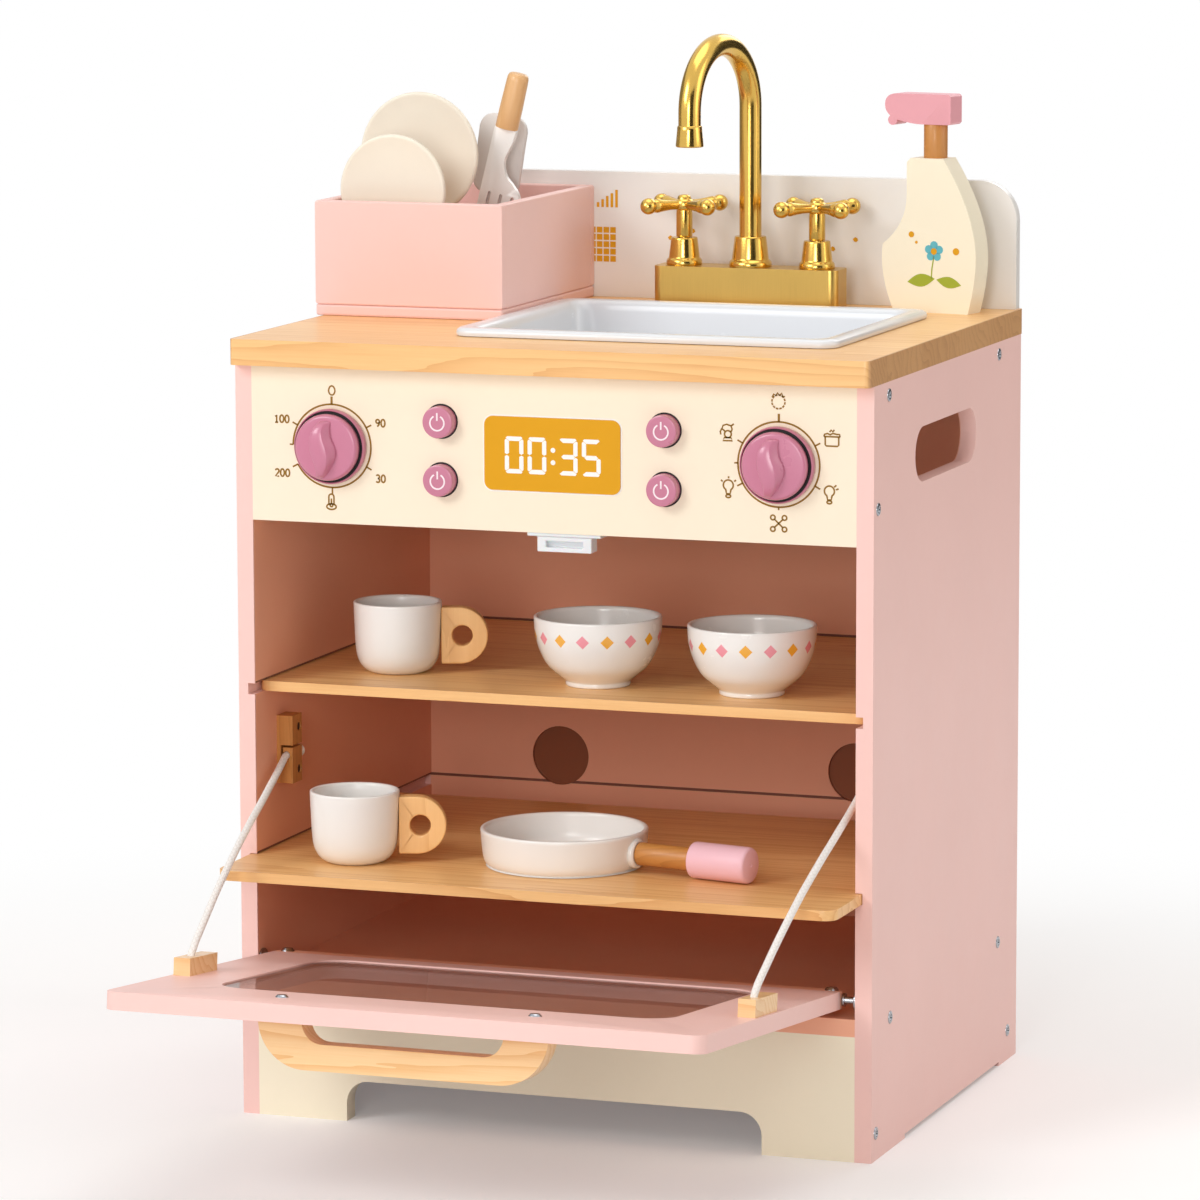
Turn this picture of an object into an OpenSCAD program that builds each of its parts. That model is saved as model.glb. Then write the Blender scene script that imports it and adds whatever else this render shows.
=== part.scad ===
// Play kitchen with a drop-down oven door, a sink, a tap with two cross handles,
// two sliding shelves, a storage box and its play ware. Millimetres, +Z up, front towards -Y.

/* [Cabinet] */
// Width over the side panels
cab_w = 460; // [420:5:520]
// Depth of the side panels
cab_d = 357; // [340:1:400]
// Height of the side panels
side_h = 528; // [510:1:570]
// Thickness of the side panels
side_t = 12; // [10:0.5:16]
// Thickness of the control panel and the plinths
front_t = 15; // [12:0.5:18]
// Height of the control panel
panel_h = 108; // [100:1:118]
// Thickness of the back panel
back_t = 6; // [5:0.5:9]
// Distance from the front edge to the inside of the back panel
inner_d = 334; // [322:1:338]
// Height of the floor's upper face
floor_z = 98.5; // [94:0.5:104]
// Thickness of the floor
floor_t = 12; // [9:0.5:15]
// Depth of the relief under the side panels
relief_h = 3; // [2:0.5:6]
// Length of the relief under the side panels
relief_l = 234; // [200:2:260]
// Height of the arch under the plinths
arch_h = 29; // [20:1:40]
// Width of the arch under the plinths
arch_w = 304; // [260:2:340]
// Radius in the arch's upper corners
arch_r = 16; // [8:1:19]
// Height of the top rails
rail_h = 18; // [14:1:22]
// Gap between a top rail and the worktop's cut-out
rail_gap = 11; // [8:1:14]
// Gap between the rear top rail and the back panel
rail_rear_gap = 16; // [8:1:22]

/* [Hand holes] */
// Length of the hand hole in each side
hand_l = 148; // [110:2:170]
// Height of the hand hole
hand_h = 38; // [30:1:46]
// Height of the hand hole's centre
hand_z = 470; // [440:1:480]
// Distance from the front edge to the hand hole's centre
hand_y = 169; // [140:1:190]

/* [Vents] */
// Radius of the round recesses in the back panel
vent_r = 22; // [15:1:30]
// Distance of each recess from the middle
vent_x = 115; // [80:1:150]
// Height of the recesses' centres
vent_z = 205; // [190:1:240]
// Depth of the recesses
vent_depth = 3.5; // [2:0.5:4]

/* [Worktop] */
// Thickness of the worktop
top_t = 18; // [15:1:24]
// How far the worktop stands out in front
top_front = 11; // [5:1:20]
// How far the worktop stands out behind
top_rear = 5; // [0:1:20]
// Radius of the worktop's corners
top_r = 4; // [2:1:12]
// Height of the splash board
splash_h = 92; // [70:1:120]
// Thickness of the splash board
splash_t = 9; // [6:1:12]
// Radius of the splash board's upper corners
splash_r = 28; // [15:1:45]

/* [Sink] */
// Gap between the storage box and the sink's rim
sink_box_gap = 2; // [1:0.5:12]
// Distance from the worktop's right end to the sink's rim
sink_right = 44; // [36:1:60]
// Depth of the sink over its rim, front to back
sink_l = 230; // [200:1:234]
// Gap between the sink's rim and the tap's base
sink_tap_gap = 16.5; // [12:0.5:20]
// Height of the rim above the worktop
rim_h = 6; // [4:0.5:8]
// Width of the rim
rim_w = 14; // [12:0.5:20]
// Depth of the basin below the rim
basin_h = 60; // [40:1:75]
// Wall of the basin
basin_t = 2; // [1.5:0.25:3]
// Radius of the sink's corners
sink_r = 14; // [8:1:20]
// Gap between the basin and the worktop's cut-out
basin_gap = 3; // [1:0.5:4]

/* [Storage box] */
// Width of the storage box
box_w = 142; // [120:1:144]
// Depth of the storage box
box_d = 192; // [150:1:200]
// Height of the storage box
box_h = 82; // [60:1:100]
// Thickness of its boards
box_t = 8; // [6:0.5:10]
// How far the box stands out over the worktop's left end
box_over = 5; // [3:0.5:6]

/* [Tap] */
// Length of the tap's base
tap_w = 139; // [125:1:150]
// Depth of the tap's base
tap_d = 30; // [26:1:36]
// Height of the tap's base
tap_h = 29; // [20:1:34]
// Distance from the middle to the tap's centre
tap_x = 40; // [30:1:46]
// Distance between the two handles
handle_pitch = 100.6; // [90:0.2:110]
// Radius of the spout's tube
spout_r = 8; // [6:0.5:9]
// Radius of the spout's bend
spout_bend = 46; // [35:1:50]
// Height of the spout's straight run above the base
spout_h = 115.5; // [100:0.5:140]
// Length of the spout's drop at its outlet
spout_drop = 20.5; // [14:0.5:40]
// How far the spout is turned to the left
spout_turn = 9.5; // [0:0.5:30]
// Distance from a handle's axis to the balls on its arms
arm_l = 30.5; // [26:0.5:34]
// Radius of the balls
ball_r = 6; // [4.5:0.5:6.5]
// How far the handles are turned
arm_turn = 51.5; // [0:0.5:90]

/* [Controls] */
// How far the dials, buttons and display stand to the right of the middle
panel_shift = 2.5; // [0:0.5:4]
// Distance of each dial from the middle
dial_x = 161; // [140:1:165]
// Height of the dials and of the display
dial_z = 473.5; // [470:0.5:478]
// Radius of a dial's skirt
skirt_r = 26; // [25:0.5:28]
// Radius of a dial's cap
cap_r = 23; // [20:0.5:24]
// Radius of a dial's shaft
shaft_r = 4; // [3:0.5:6]
// Distance of each push button from the middle
button_x = 80.5; // [74:0.5:95]
// Distance of each push button above and below the dials' height
button_dz = 20; // [16:0.5:24]
// Radius of a push button
button_r = 11; // [8:0.5:12]
// Travel of a push button
button_travel = 4; // [2:0.5:5]
// Width of the display
display_w = 98; // [80:1:110]
// Height of the display
display_h = 50.5; // [40:0.5:60]
// Thickness of the display
display_t = 2; // [1.5:0.5:3]

/* [Door] */
// Height of the door
door_h = 302; // [285:1:302]
// Thickness of the door
door_t = 12; // [10:0.5:14]
// Gap between the door and each side panel
door_gap = 11; // [6:0.5:14]
// Radius of the door's corners
door_r = 10; // [5:1:20]
// Distance from the front edge to the hinge pins
hinge_y = 8; // [8:0.5:10]
// Height of the hinge pins
hinge_z = 110; // [109.5:0.5:110]
// Distance from the pins to the door's lower edge
hinge_inset = 7; // [6:0.5:8]
// Slope of the open door
door_tilt = 6; // [0:0.5:10]
// Width of the window
window_w = 306; // [260:2:330]
// Height of the window
window_h = 186; // [150:2:200]
// Distance from the door's lower edge to the window
window_y = 43; // [35:1:55]
// Radius of the window's corners
window_r = 18; // [8:1:30]
// Thickness of the pane
pane_t = 2.5; // [2:0.5:3]
// Width of the ledge that the pane lies on
ledge_w = 6; // [4:1:8]
// Length of the door handle
handle_w = 202; // [160:2:240]
// Reach of the door handle
handle_h = 33.5; // [28:0.5:40]
// Thickness of the door handle's bar
handle_t = 17.5; // [12:0.5:18]
// Width of the door handle's legs
leg_w = 31; // [20:1:34]
// How far the door handle stands to the left of the middle
handle_shift = 8; // [0:1:20]
// Distance from the door's upper edge to the handle's centre
handle_y = 38; // [20:1:44]
// Width of the catch over its flange
catch_w = 53; // [40:1:60]
// Distance from the middle to the catch
catch_x = 10; // [0:1:20]
// Height of the catch
catch_h = 13; // [10:0.5:13.5]

/* [Shelves] */
// Thickness of the shelves
shelf_t = 7; // [5:0.5:9]
// Gap between the upper shelf and the back panel
shelf_gap = 1; // [0.5:0.5:6]
// Height of the upper shelf's top
upper_z = 305; // [300:1:320]
// Height of the lower shelf's top
lower_z = 185; // [180:1:188]
// How far the lower shelf is pulled out
pull_out = 62; // [30:1:62]
// Recess of the upper shelf behind the front edge
shelf_recess = 15; // [15:0.5:16]
// Radius of the shelves' front corners
shelf_r = 10; // [5:1:25]
// Depth of the grooves in the side panels
groove_d = 5; // [3:0.5:7]
// Gap around a shelf in its groove
groove_gap = 0.4; // [0.2:0.1:0.8]

/* [Ropes] */
// Diameter of the door's ropes
rope_d = 5; // [3:0.5:6]
// Width of a rope block
block_w = 12; // [10:0.5:14]
// Height of a rope block on the side panels
block_h = 48; // [40:1:56]
// Depth of a rope block on the side panels
block_d = 17; // [14:1:22]
// Length of a rope block on the door
door_block_l = 46; // [26:1:50]
// Distance from the hinge pins to the rope blocks on the door
door_block_y = 161.5; // [120:0.5:162]
// Height of a rope block on the door
door_block_h = 12; // [10:0.5:16]

/* [Play ware] */
// Radius of a mug's rim
mug_r = 31; // [26:0.5:36]
// Height of a mug
mug_h = 50; // [40:1:55]
// Wall of a mug
mug_t = 3.5; // [2.5:0.5:5]
// Radius of a mug's round wooden handle
mug_ear_r = 20; // [16:0.5:24]
// Thickness of a mug's handle
mug_ear_t = 11; // [8:0.5:14]
// Radius of a bowl's rim
bowl_r = 44.5; // [38:0.5:50]
// Height of a bowl
bowl_h = 48.5; // [40:0.5:55]
// Radius of a bowl's foot
bowl_foot_r = 22.5; // [18:0.5:26]
// Wall of a bowl
bowl_t = 4; // [3:0.5:6]
// Radius of the pan's rim
pan_r = 58; // [50:1:62]
// Height of the pan
pan_h = 26; // [20:1:32]
// Wall of the pan
pan_t = 3.5; // [2.5:0.5:5]
// Radius of the pan's grip
grip_r = 13; // [10:0.5:15]
// Length of the pan's grip
grip_l = 52; // [36:1:56]
// Length of the pan's wooden stem
stem_l = 45; // [30:1:50]
// Radius of the large plate
plate_r = 45; // [38:0.5:48]
// Radius of the small plate
small_plate_r = 40; // [32:0.5:42]
// Thickness of the plates at their rim
plate_t = 5; // [4:0.5:6]
// Height of the spray bottle's body
bottle_h = 110; // [90:1:130]
// Thickness of the spray bottle's body
bottle_t = 20; // [14:0.5:24]
// Radius of the spray bottle's neck
neck_r = 8.5; // [6:0.5:9]

/* [Fasteners] */
// Radius of the cabinet screws
screw_r = 2; // [1.5:0.25:2.5]
// Radius of the screw heads
head_r = 4.5; // [4:0.25:5.5]
// Length of the cabinet screws
screw_l = 34; // [28:1:40]
// Radius of the hinge pins
pin_r = 2.5; // [2:0.25:3]
// Gap between a turning or sliding piece and its seat
fit_gap = 0.06; // [0.02:0.01:0.1]
// Gap between a resting piece and its seat
rest_gap = 0.3; // [0.2:0.05:0.5]

/* [Hidden] */
$fn = 48;

pink = [0.93, 0.68, 0.66];
cream = [0.97, 0.93, 0.80];
mauve = [0.72, 0.42, 0.55];
pine = [0.93, 0.75, 0.50];
beech = [0.80, 0.56, 0.33];
gold = [0.83, 0.65, 0.28];
steel = [0.72, 0.72, 0.72];
white = [0.95, 0.95, 0.95];
mustard = [0.87, 0.62, 0.10];
rope_white = [0.93, 0.91, 0.88];

// The cabinet is laid out from its front edge; front_y puts the whole in the middle of its length.
door_reach = (door_h - hinge_inset) * cos(door_tilt) + door_t / 2 * sin(door_tilt) - hinge_y;
front_y = (door_reach - cab_d - top_rear) / 2;
inner_w = cab_w - 2 * side_t;
half_in = inner_w / 2;
top_z = side_h + top_t;
panel_z = side_h - panel_h;
plinth_h = floor_z - floor_t;
splash_y = cab_d + top_rear - splash_t - 3;
rear_plinth_y = inner_d - 6;
tap_y = splash_y - arm_l - ball_r - 1;
box_x = -cab_w / 2 - box_over;
box_y = splash_y - box_d;
rack_h = 66;
sink_x0 = box_x + box_w + sink_box_gap;
sink_w = cab_w / 2 - sink_right - sink_x0;
sink_x = sink_x0 + sink_w / 2;
sink_y = tap_y - tap_d / 2 - sink_tap_gap - sink_l;
basin_w = sink_w - 2 * rim_w;
basin_l = sink_l - 2 * rim_w;
hole_margin = basin_t + basin_gap;
front_rail_d = sink_y + rim_w - hole_margin - rail_gap - front_t;
rear_rail_y = sink_y + sink_l - rim_w + hole_margin + rail_gap;
rear_rail_d = inner_d - rail_rear_gap - rear_rail_y;
shelf_d = inner_d - shelf_gap - shelf_recess;
door_w = inner_w - 2 * door_gap;
handle_z = dial_z - side_h;
pin_x0 = half_in - door_gap - 5.7;
bush_l = 9;
bush_r = pin_r + 2;
flange_r = pin_r + 4.5;
flange_t = 1.6;
bolt_x = half_in - door_gap - 8;
bolt_r = 2;
bonnet_z = top_z + tap_h;
bonnet_h = 20;
collar_h = 22;
wall_block_y = 38;
wall_block_z = 229;
rope_x = half_in - block_w / 2 - 1;
rope_z = 249;
cup_l = 22;
cup_t = 1.6;
guide_r = button_r + 1;
screw_head_t = 2.5;

// Cabinet screws: [distance from the front edge, height], each in the middle of a board's edge
screw_spots = [
    [front_t + front_rail_d * 0.55, side_h - rail_h / 2],
    [rear_rail_y + rear_rail_d / 2, side_h - rail_h / 2],
    [front_t - 5, panel_z + panel_h * 0.23],
    [inner_d - 27, floor_z - floor_t / 2],
    [42, floor_z - floor_t / 2],
    [rear_plinth_y + 6, 22],
    [front_t - 5, 19]];

// Route of the left rope, measured from the front edge; the right one mirrors it.
rope_points = [[-211, 52, 249], [-211, 41, 249], [-211, 36.8, 248.3], [-210.8, 33, 246.6],
    [-210, 19.9, 239.3], [-209.2, 6.9, 232.1], [-208.3, -6.2, 225], [-207.5, -19.3, 217.9],
    [-206.7, -32.4, 211], [-205.9, -45.4, 204.1], [-205.1, -58.5, 197.4], [-204.2, -71.6, 190.7],
    [-203.4, -84.6, 184.1], [-202.6, -97.7, 177.6], [-201.8, -110.8, 171.2], [-200.9, -123.9, 164.9],
    [-200.1, -136.9, 158.6], [-199.3, -150, 152.5], [-199, -155, 149.8], [-199, -158, 147.4],
    [-199, -159.3, 144.6], [-199, -159.6, 141.4]];

module at_front() translate([0, front_y, 0]) children();
module slab(lo, hi) translate(lo) cube(hi - lo);
module along_y(x, y, z) translate([x, y, z]) rotate([-90, 0, 0]) children();
module along_x(x, y, z) translate([x, y, z]) rotate([0, 90, 0]) children();
module both_sides() for (s = [1, -1]) scale([s, 1, 1]) children();
module mirror_if(on) { if (on) mirror([1, 0, 0]) children(); else children(); }

// Rectangle with round corners, made of true arcs
module round_rect(w, h, r) {
    square([w - 2 * r, h], center = true);
    square([w, h - 2 * r], center = true);
    for (x = [-1, 1], y = [-1, 1]) translate([x * (w / 2 - r), y * (h / 2 - r)]) circle(r);
}

// Board standing in the YZ plane: its outline's x runs back and its y up
module standing(x, t) translate([x, 0, 0]) rotate([90, 0, 90]) linear_extrude(t) children();
// Board facing the front: its outline's x runs right and its y up
module facing(y, t) translate([0, y + t, 0]) rotate([90, 0, 0]) linear_extrude(t) children();

// Shanks of all cabinet screws of the right side, r wide
module screw_shanks(r) for (p = screw_spots)
    along_x(cab_w / 2 - screw_l, p[0], p[1]) cylinder(h = screw_l, r = r);
module both_shanks(r) { screw_shanks(r); mirror([1, 0, 0]) screw_shanks(r); }

module side_panel() difference() {
    standing(half_in, side_t) difference() {
        square([cab_d, side_h]);
        translate([cab_d * 0.546 - relief_l / 2, -1]) square([relief_l, relief_h + 1]);
        translate([hand_y, hand_z]) round_rect(hand_l, hand_h, hand_h / 2 - 0.01);
    }
    for (z = [upper_z, lower_z])
        slab([half_in - 1, -1, z - shelf_t - groove_gap], [half_in + groove_d, inner_d, z + groove_gap]);
    screw_shanks(screw_r + fit_gap);
    for (p = screw_spots)
        along_x(cab_w / 2 - screw_head_t, p[0], p[1]) cylinder(h = screw_head_t + 1, r = head_r + fit_gap);
    along_x(half_in - 1, hinge_y, hinge_z) cylinder(h = bush_l + 1, r = bush_r + fit_gap);
}
module right_side_panel() color(pink) at_front() side_panel();
module left_side_panel() color(pink) at_front() mirror([1, 0, 0]) side_panel();

module button_spots() for (x = [-1, 1], z = [-1, 1])
    along_y(panel_shift + x * button_x, 0, dial_z + z * button_dz) children();

module control_panel() color(cream) at_front() difference() {
    slab([-half_in, 0, panel_z], [half_in, front_t, side_h]);
    for (x = [-1, 1]) along_y(panel_shift + x * dial_x, -1, dial_z)
        cylinder(h = front_t + 2, r = shaft_r + fit_gap);
    button_spots() translate([0, 0, -1]) cylinder(h = front_t + 2, r = guide_r + fit_gap);
    facing(-1, 2) translate([panel_shift, dial_z])
        round_rect(display_w + 2 * fit_gap, display_h + 2 * fit_gap, 6 + fit_gap);
    both_shanks(screw_r + fit_gap);
}

module display_plate() color(mustard) at_front()
    facing(1 - display_t, display_t) translate([panel_shift, dial_z]) round_rect(display_w, display_h, 6);

module top_rails() color(pine) at_front() difference() {
    union() {
        slab([-half_in, front_t, side_h - rail_h], [half_in, front_t + front_rail_d, side_h]);
        slab([-half_in, rear_rail_y, side_h - rail_h], [half_in, rear_rail_y + rear_rail_d, side_h]);
    }
    both_shanks(screw_r + fit_gap);
}

module back_panel() color(pink) at_front() difference() {
    slab([-half_in, inner_d, floor_z], [half_in, inner_d + back_t, side_h]);
    for (s = [-1, 1]) along_y(s * vent_x, inner_d - 1, vent_z) cylinder(h = vent_depth + 1, r = vent_r);
}

module floor_panel() color(pink) at_front() difference() {
    slab([-half_in, 0, plinth_h], [half_in, inner_d + back_t, floor_z]);
    both_shanks(screw_r + fit_gap);
}

// Plinth board with an arch whose upper corners are round
module plinth_outline() difference() {
    translate([-half_in, 0]) square([inner_w, plinth_h]);
    translate([0, arch_h / 2 - arch_r / 2]) square([arch_w, arch_h - arch_r], center = true);
    translate([0, arch_h / 2]) square([arch_w - 2 * arch_r, arch_h], center = true);
    for (s = [-1, 1]) translate([s * (arch_w / 2 - arch_r), arch_h - arch_r]) circle(arch_r);
    translate([0, -5]) square([arch_w, 10.1], center = true);
}
module front_plinth() color(cream) at_front() difference() {
    facing(0, front_t) plinth_outline();
    both_shanks(screw_r + fit_gap);
}
module rear_plinth() color(pink) at_front() difference() {
    facing(rear_plinth_y, 12) plinth_outline();
    both_shanks(screw_r + fit_gap);
}

module worktop() color(pine) at_front() translate([0, 0, side_h]) linear_extrude(top_t) difference() {
    translate([0, (cab_d + top_rear - top_front) / 2])
        round_rect(cab_w, cab_d + top_rear + top_front, top_r);
    translate([sink_x, sink_y + sink_l / 2])
        round_rect(basin_w + 2 * hole_margin, basin_l + 2 * hole_margin, sink_r);
}

module splash_board() color(white) at_front() facing(splash_y, splash_t) translate([0, top_z]) {
    w = cab_w - 4;
    translate([-w / 2, 0]) square([w, splash_h - splash_r]);
    translate([-w / 2 + splash_r, 0]) square([w - 2 * splash_r, splash_h]);
    for (s = [-1, 1]) translate([s * (w / 2 - splash_r), splash_h - splash_r]) circle(splash_r);
}

module sink_basin() color(white) at_front() translate([sink_x, sink_y + sink_l / 2, top_z]) difference() {
    union() {
        linear_extrude(rim_h) round_rect(sink_w, sink_l, sink_r);
        translate([0, 0, rim_h - basin_h - basin_t]) linear_extrude(basin_h + basin_t - rim_h)
            round_rect(basin_w + 2 * basin_t, basin_l + 2 * basin_t, sink_r - 1);
    }
    translate([0, 0, rim_h - basin_h]) linear_extrude(basin_h + 1)
        round_rect(basin_w, basin_l, sink_r - 3);
}

module box_base() color(pink) at_front()
    slab([box_x, box_y, top_z], [box_x + box_w, box_y + box_d, top_z + box_t]);

// Front and back boards, with the side boards between them
module box_boards() color(pink) at_front() {
    z0 = top_z + box_t;
    z1 = top_z + box_h;
    for (y = [box_y, box_y + box_d - box_t]) slab([box_x, y, z0], [box_x + box_w, y + box_t, z1]);
    for (x = [box_x, box_x + box_w - box_t])
        slab([x, box_y + box_t + 0.1, z0], [x + box_t, box_y + box_d - box_t - 0.1, z1]);
}

// Slotted block in the box that the plates stand in
plate_x = box_x + box_t + small_plate_r + 1;
plate_y = box_y + 80;
small_plate_y = plate_y - 52;
plate_bottom = 611;
small_plate_bottom = 594;
slot_w = plate_t + 2 * rest_gap;
module dish_rack() color(beech) at_front() difference() {
    slab([plate_x - plate_r + 6, small_plate_y - 14, top_z + box_t],
        [plate_x + plate_r - 10, plate_y + 14, top_z + box_t + rack_h]);
    slab([plate_x - plate_r, plate_y - slot_w / 2, plate_bottom - rest_gap],
        [plate_x + plate_r, plate_y + slot_w / 2, top_z + 2 * box_h]);
    slab([plate_x - plate_r, small_plate_y - slot_w / 2, small_plate_bottom - rest_gap],
        [plate_x + plate_r, small_plate_y + slot_w / 2, top_z + 2 * box_h]);
}

module side_screws() color(steel) at_front() for (m = [0, 1]) mirror([m, 0, 0]) for (p = screw_spots) {
    along_x(cab_w / 2 - screw_l + 1, p[0], p[1]) cylinder(h = screw_l - screw_head_t - 0.5, r = screw_r);
    along_x(cab_w / 2 - screw_head_t, p[0], p[1]) cylinder(h = screw_head_t + 0.4, r = head_r);
}

module door_catch() color(white) at_front() translate([catch_x, 0, panel_z]) difference() {
    union() {
        slab([-catch_w / 2, 1, -2.5], [catch_w / 2, front_t, 0]);
        slab([-catch_w * 0.37, 2, -catch_h], [catch_w * 0.37, front_t - 1, -2.5]);
    }
    slab([-catch_w * 0.25, 0, -catch_h + 3], [catch_w * 0.25, 7, -catch_h + 7.5]);
}

module tap_base() color(gold) at_front() difference() {
    translate([tap_x, tap_y, top_z]) linear_extrude(tap_h) round_rect(tap_w, tap_d, 6);
    for (s = [-1, 1]) translate([tap_x + s * handle_pitch / 2, tap_y, bonnet_z - 12])
        cylinder(h = 13, r = 4 + fit_gap);
    translate([tap_x, tap_y, bonnet_z - 16]) cylinder(h = 17, r = spout_r - 1.5 + fit_gap);
}

// Flared and tapered sleeve, r wide at its flare, with a bore for the stem that turns in it
module flared_sleeve(r, h, bore) rotate_extrude() difference() {
    polygon(concat([[0, 0], [r, 0], [r, 2]],
        [for (a = [0:15:90]) [r - 2.2 + 2.2 * cos(a), 2 + 2.6 * sin(a)]],
        [[r - 2.6, 6.5], [r - 4.2, h - 1.2], [r - 5, h], [0, h]]));
    translate([0, -1]) square([bore, h + 2]);
}
module tap_bonnets() color(gold) at_front() {
    for (s = [-1, 1]) translate([tap_x + s * handle_pitch / 2, tap_y, bonnet_z])
        flared_sleeve(13, bonnet_h, 4 + fit_gap);
    translate([tap_x, tap_y, bonnet_z]) flared_sleeve(15.5, collar_h, spout_r + fit_gap);
}

// Stem, hub and four arms with balls; the stem goes down through the bonnet into the base
module cross_handle() {
    arm_z = bonnet_h + 23.5;
    translate([0, 0, -11]) cylinder(h = bonnet_h + 11.4, r = 4);
    translate([0, 0, bonnet_h + rest_gap]) cylinder(h = arm_z - bonnet_h - 2, r = 5.8);
    translate([0, 0, arm_z - 3]) cylinder(h = 6, r = 7);
    translate([0, 0, arm_z + 2]) scale(1) sphere(r = 4.6);
    for (a = [0:90:270]) rotate([0, 90, a + arm_turn]) translate([-arm_z, 0, 0]) {
        cylinder(h = arm_l, r1 = 3.2, r2 = ball_r - 1);
        translate([0, 0, arm_l]) sphere(r = ball_r);
    }
}
module tap_handle_left() color(gold) at_front()
    translate([tap_x - handle_pitch / 2, tap_y, bonnet_z]) cross_handle();
module tap_handle_right() color(gold) at_front()
    translate([tap_x + handle_pitch / 2, tap_y, bonnet_z]) cross_handle();

// The spout bends forward; the turn is about its own riser
module spout_place() at_front() translate([tap_x, tap_y, bonnet_z]) rotate([0, 0, -spout_turn]) children();
module spout_tube() color(gold) spout_place() {
    translate([0, 0, -15]) cylinder(h = 15.4, r = spout_r - 1.5);
    translate([0, 0, rest_gap]) cylinder(h = spout_h - rest_gap, r = spout_r);
    translate([0, -spout_bend, spout_h]) rotate([90, 0, 90])
        rotate_extrude(angle = 180) translate([spout_bend, 0]) circle(spout_r);
    translate([0, -2 * spout_bend, spout_h - spout_drop + 12]) cylinder(h = spout_drop - 12, r = spout_r);
    translate([0, -2 * spout_bend, spout_h - spout_drop + 4]) cylinder(h = 9, r = spout_r - 2);
}
module spout_tip() color(gold) spout_place() translate([0, -2 * spout_bend, spout_h - spout_drop - 3])
    difference() {
        cylinder(h = 15, r1 = spout_r + 2, r2 = spout_r + 0.8);
        translate([0, 0, 6.8]) cylinder(h = 9, r = spout_r - 2 + fit_gap);
        translate([0, 0, -1]) cylinder(h = 6, r = spout_r - 0.5);
    }

// Block with a narrow slot around the rope's hole and two screw holes through its side
module wall_rope_block() difference() {
    slab([half_in - block_w, wall_block_y, wall_block_z],
        [half_in, wall_block_y + block_d, wall_block_z + block_h]);
    along_y(rope_x, wall_block_y - 1, rope_z) cylinder(h = block_d + 2, r = rope_d / 2 + rest_gap);
    slab([half_in - block_w - 1, wall_block_y - 1, rope_z + 5.4],
        [half_in - 3, wall_block_y + block_d + 1, rope_z + 7]);
    slab([half_in - 4.6, wall_block_y - 1, rope_z - 5],
        [half_in - 3, wall_block_y + block_d * 0.6, rope_z + 7]);
    for (z = [9, block_h - 9]) {
        along_x(half_in - block_w - 1, wall_block_y + block_d * 0.7, wall_block_z + z)
            cylinder(h = block_w + 2, r = 1.6);
        along_x(half_in - block_w - 1, wall_block_y + block_d * 0.7, wall_block_z + z)
            cylinder(h = 4, r = 3);
    }
}
module wall_rope_blocks() color(beech) at_front() {
    wall_rope_block();
    mirror([1, 0, 0]) wall_rope_block();
}

module hinge_bush() difference() {
    union() {
        along_x(half_in - flange_t, hinge_y, hinge_z) cylinder(h = flange_t, r = flange_r);
        along_x(half_in - flange_t, hinge_y, hinge_z) cylinder(h = flange_t + bush_l - 0.2, r = bush_r);
    }
    along_x(half_in - flange_t - 1, hinge_y, hinge_z)
        cylinder(h = flange_t + bush_l + 2, r = pin_r + fit_gap);
}
module hinge_bushes() color(white) at_front() {
    hinge_bush();
    mirror([1, 0, 0]) hinge_bush();
}

// Cup behind the panel that lines the button's hole
module button_guides() color([0.16, 0.15, 0.15]) at_front() button_spots() difference() {
    union() {
        cylinder(h = front_t, r = guide_r);
        translate([0, 0, front_t]) cylinder(h = cup_l - front_t + cup_t, r = guide_r + 3);
    }
    translate([0, 0, -1]) cylinder(h = cup_l + 1, r = button_r + fit_gap);
    cylinder(h = cup_l + cup_t + 1, r = 3 + fit_gap);
}
module push_button(x, z) color(mauve) at_front() along_y(panel_shift + x, 0, z) {
    translate([0, 0, -7]) cylinder(h = 14, r = button_r);
    translate([0, 0, -8.2]) cylinder(h = 1.2, r1 = button_r - 1.2, r2 = button_r);
    translate([0, 0, 6.9]) cylinder(h = cup_l + cup_t - 5.5, r = 3);
    translate([0, 0, cup_l + cup_t]) cylinder(h = 1.8, r = 4.5);
}
module button_upper_left() push_button(-button_x, dial_z + button_dz);
module button_lower_left() push_button(-button_x, dial_z - button_dz);
module button_upper_right() push_button(button_x, dial_z + button_dz);
module button_lower_right() push_button(button_x, dial_z - button_dz);
// Dial: skirt, cap, a wavy grip across the cap, a shaft through the panel and its snap collar
grip_points = [[-3.5, 18.3], [-9.8, 6.5], [-8.7, -3.2], [-5.8, -11.8], [-6.4, -20.4], [-1.2, -20.4],
    [4, -11.8], [5.6, -2.6], [4, 3.2], [1.4, 9.7], [2, 18.3]];
module dial(x) color(mauve) at_front() along_y(panel_shift + x, 0, dial_z) rotate([180, 0, 0]) {
    translate([0, 0, rest_gap]) cylinder(h = 5, r = skirt_r);
    translate([0, 0, 5.2]) cylinder(h = 1.6, r1 = skirt_r, r2 = skirt_r - 1.6);
    translate([0, 0, 6]) cylinder(h = 5.2, r1 = cap_r + 0.8, r2 = cap_r);
    translate([0, 0, 11.1]) cylinder(h = 1.3, r1 = cap_r, r2 = cap_r - 1.6);
    translate([0, 0, 12]) linear_extrude(6.4) polygon(grip_points * (cap_r / 23));
    translate([0, 0, -front_t - rest_gap - 4]) cylinder(h = front_t + 5, r = shaft_r);
    translate([0, 0, -front_t - rest_gap - 3]) cylinder(h = 3, r = shaft_r + 3);
}
module dial_left() dial(-dial_x);
module dial_right() dial(dial_x);

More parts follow.
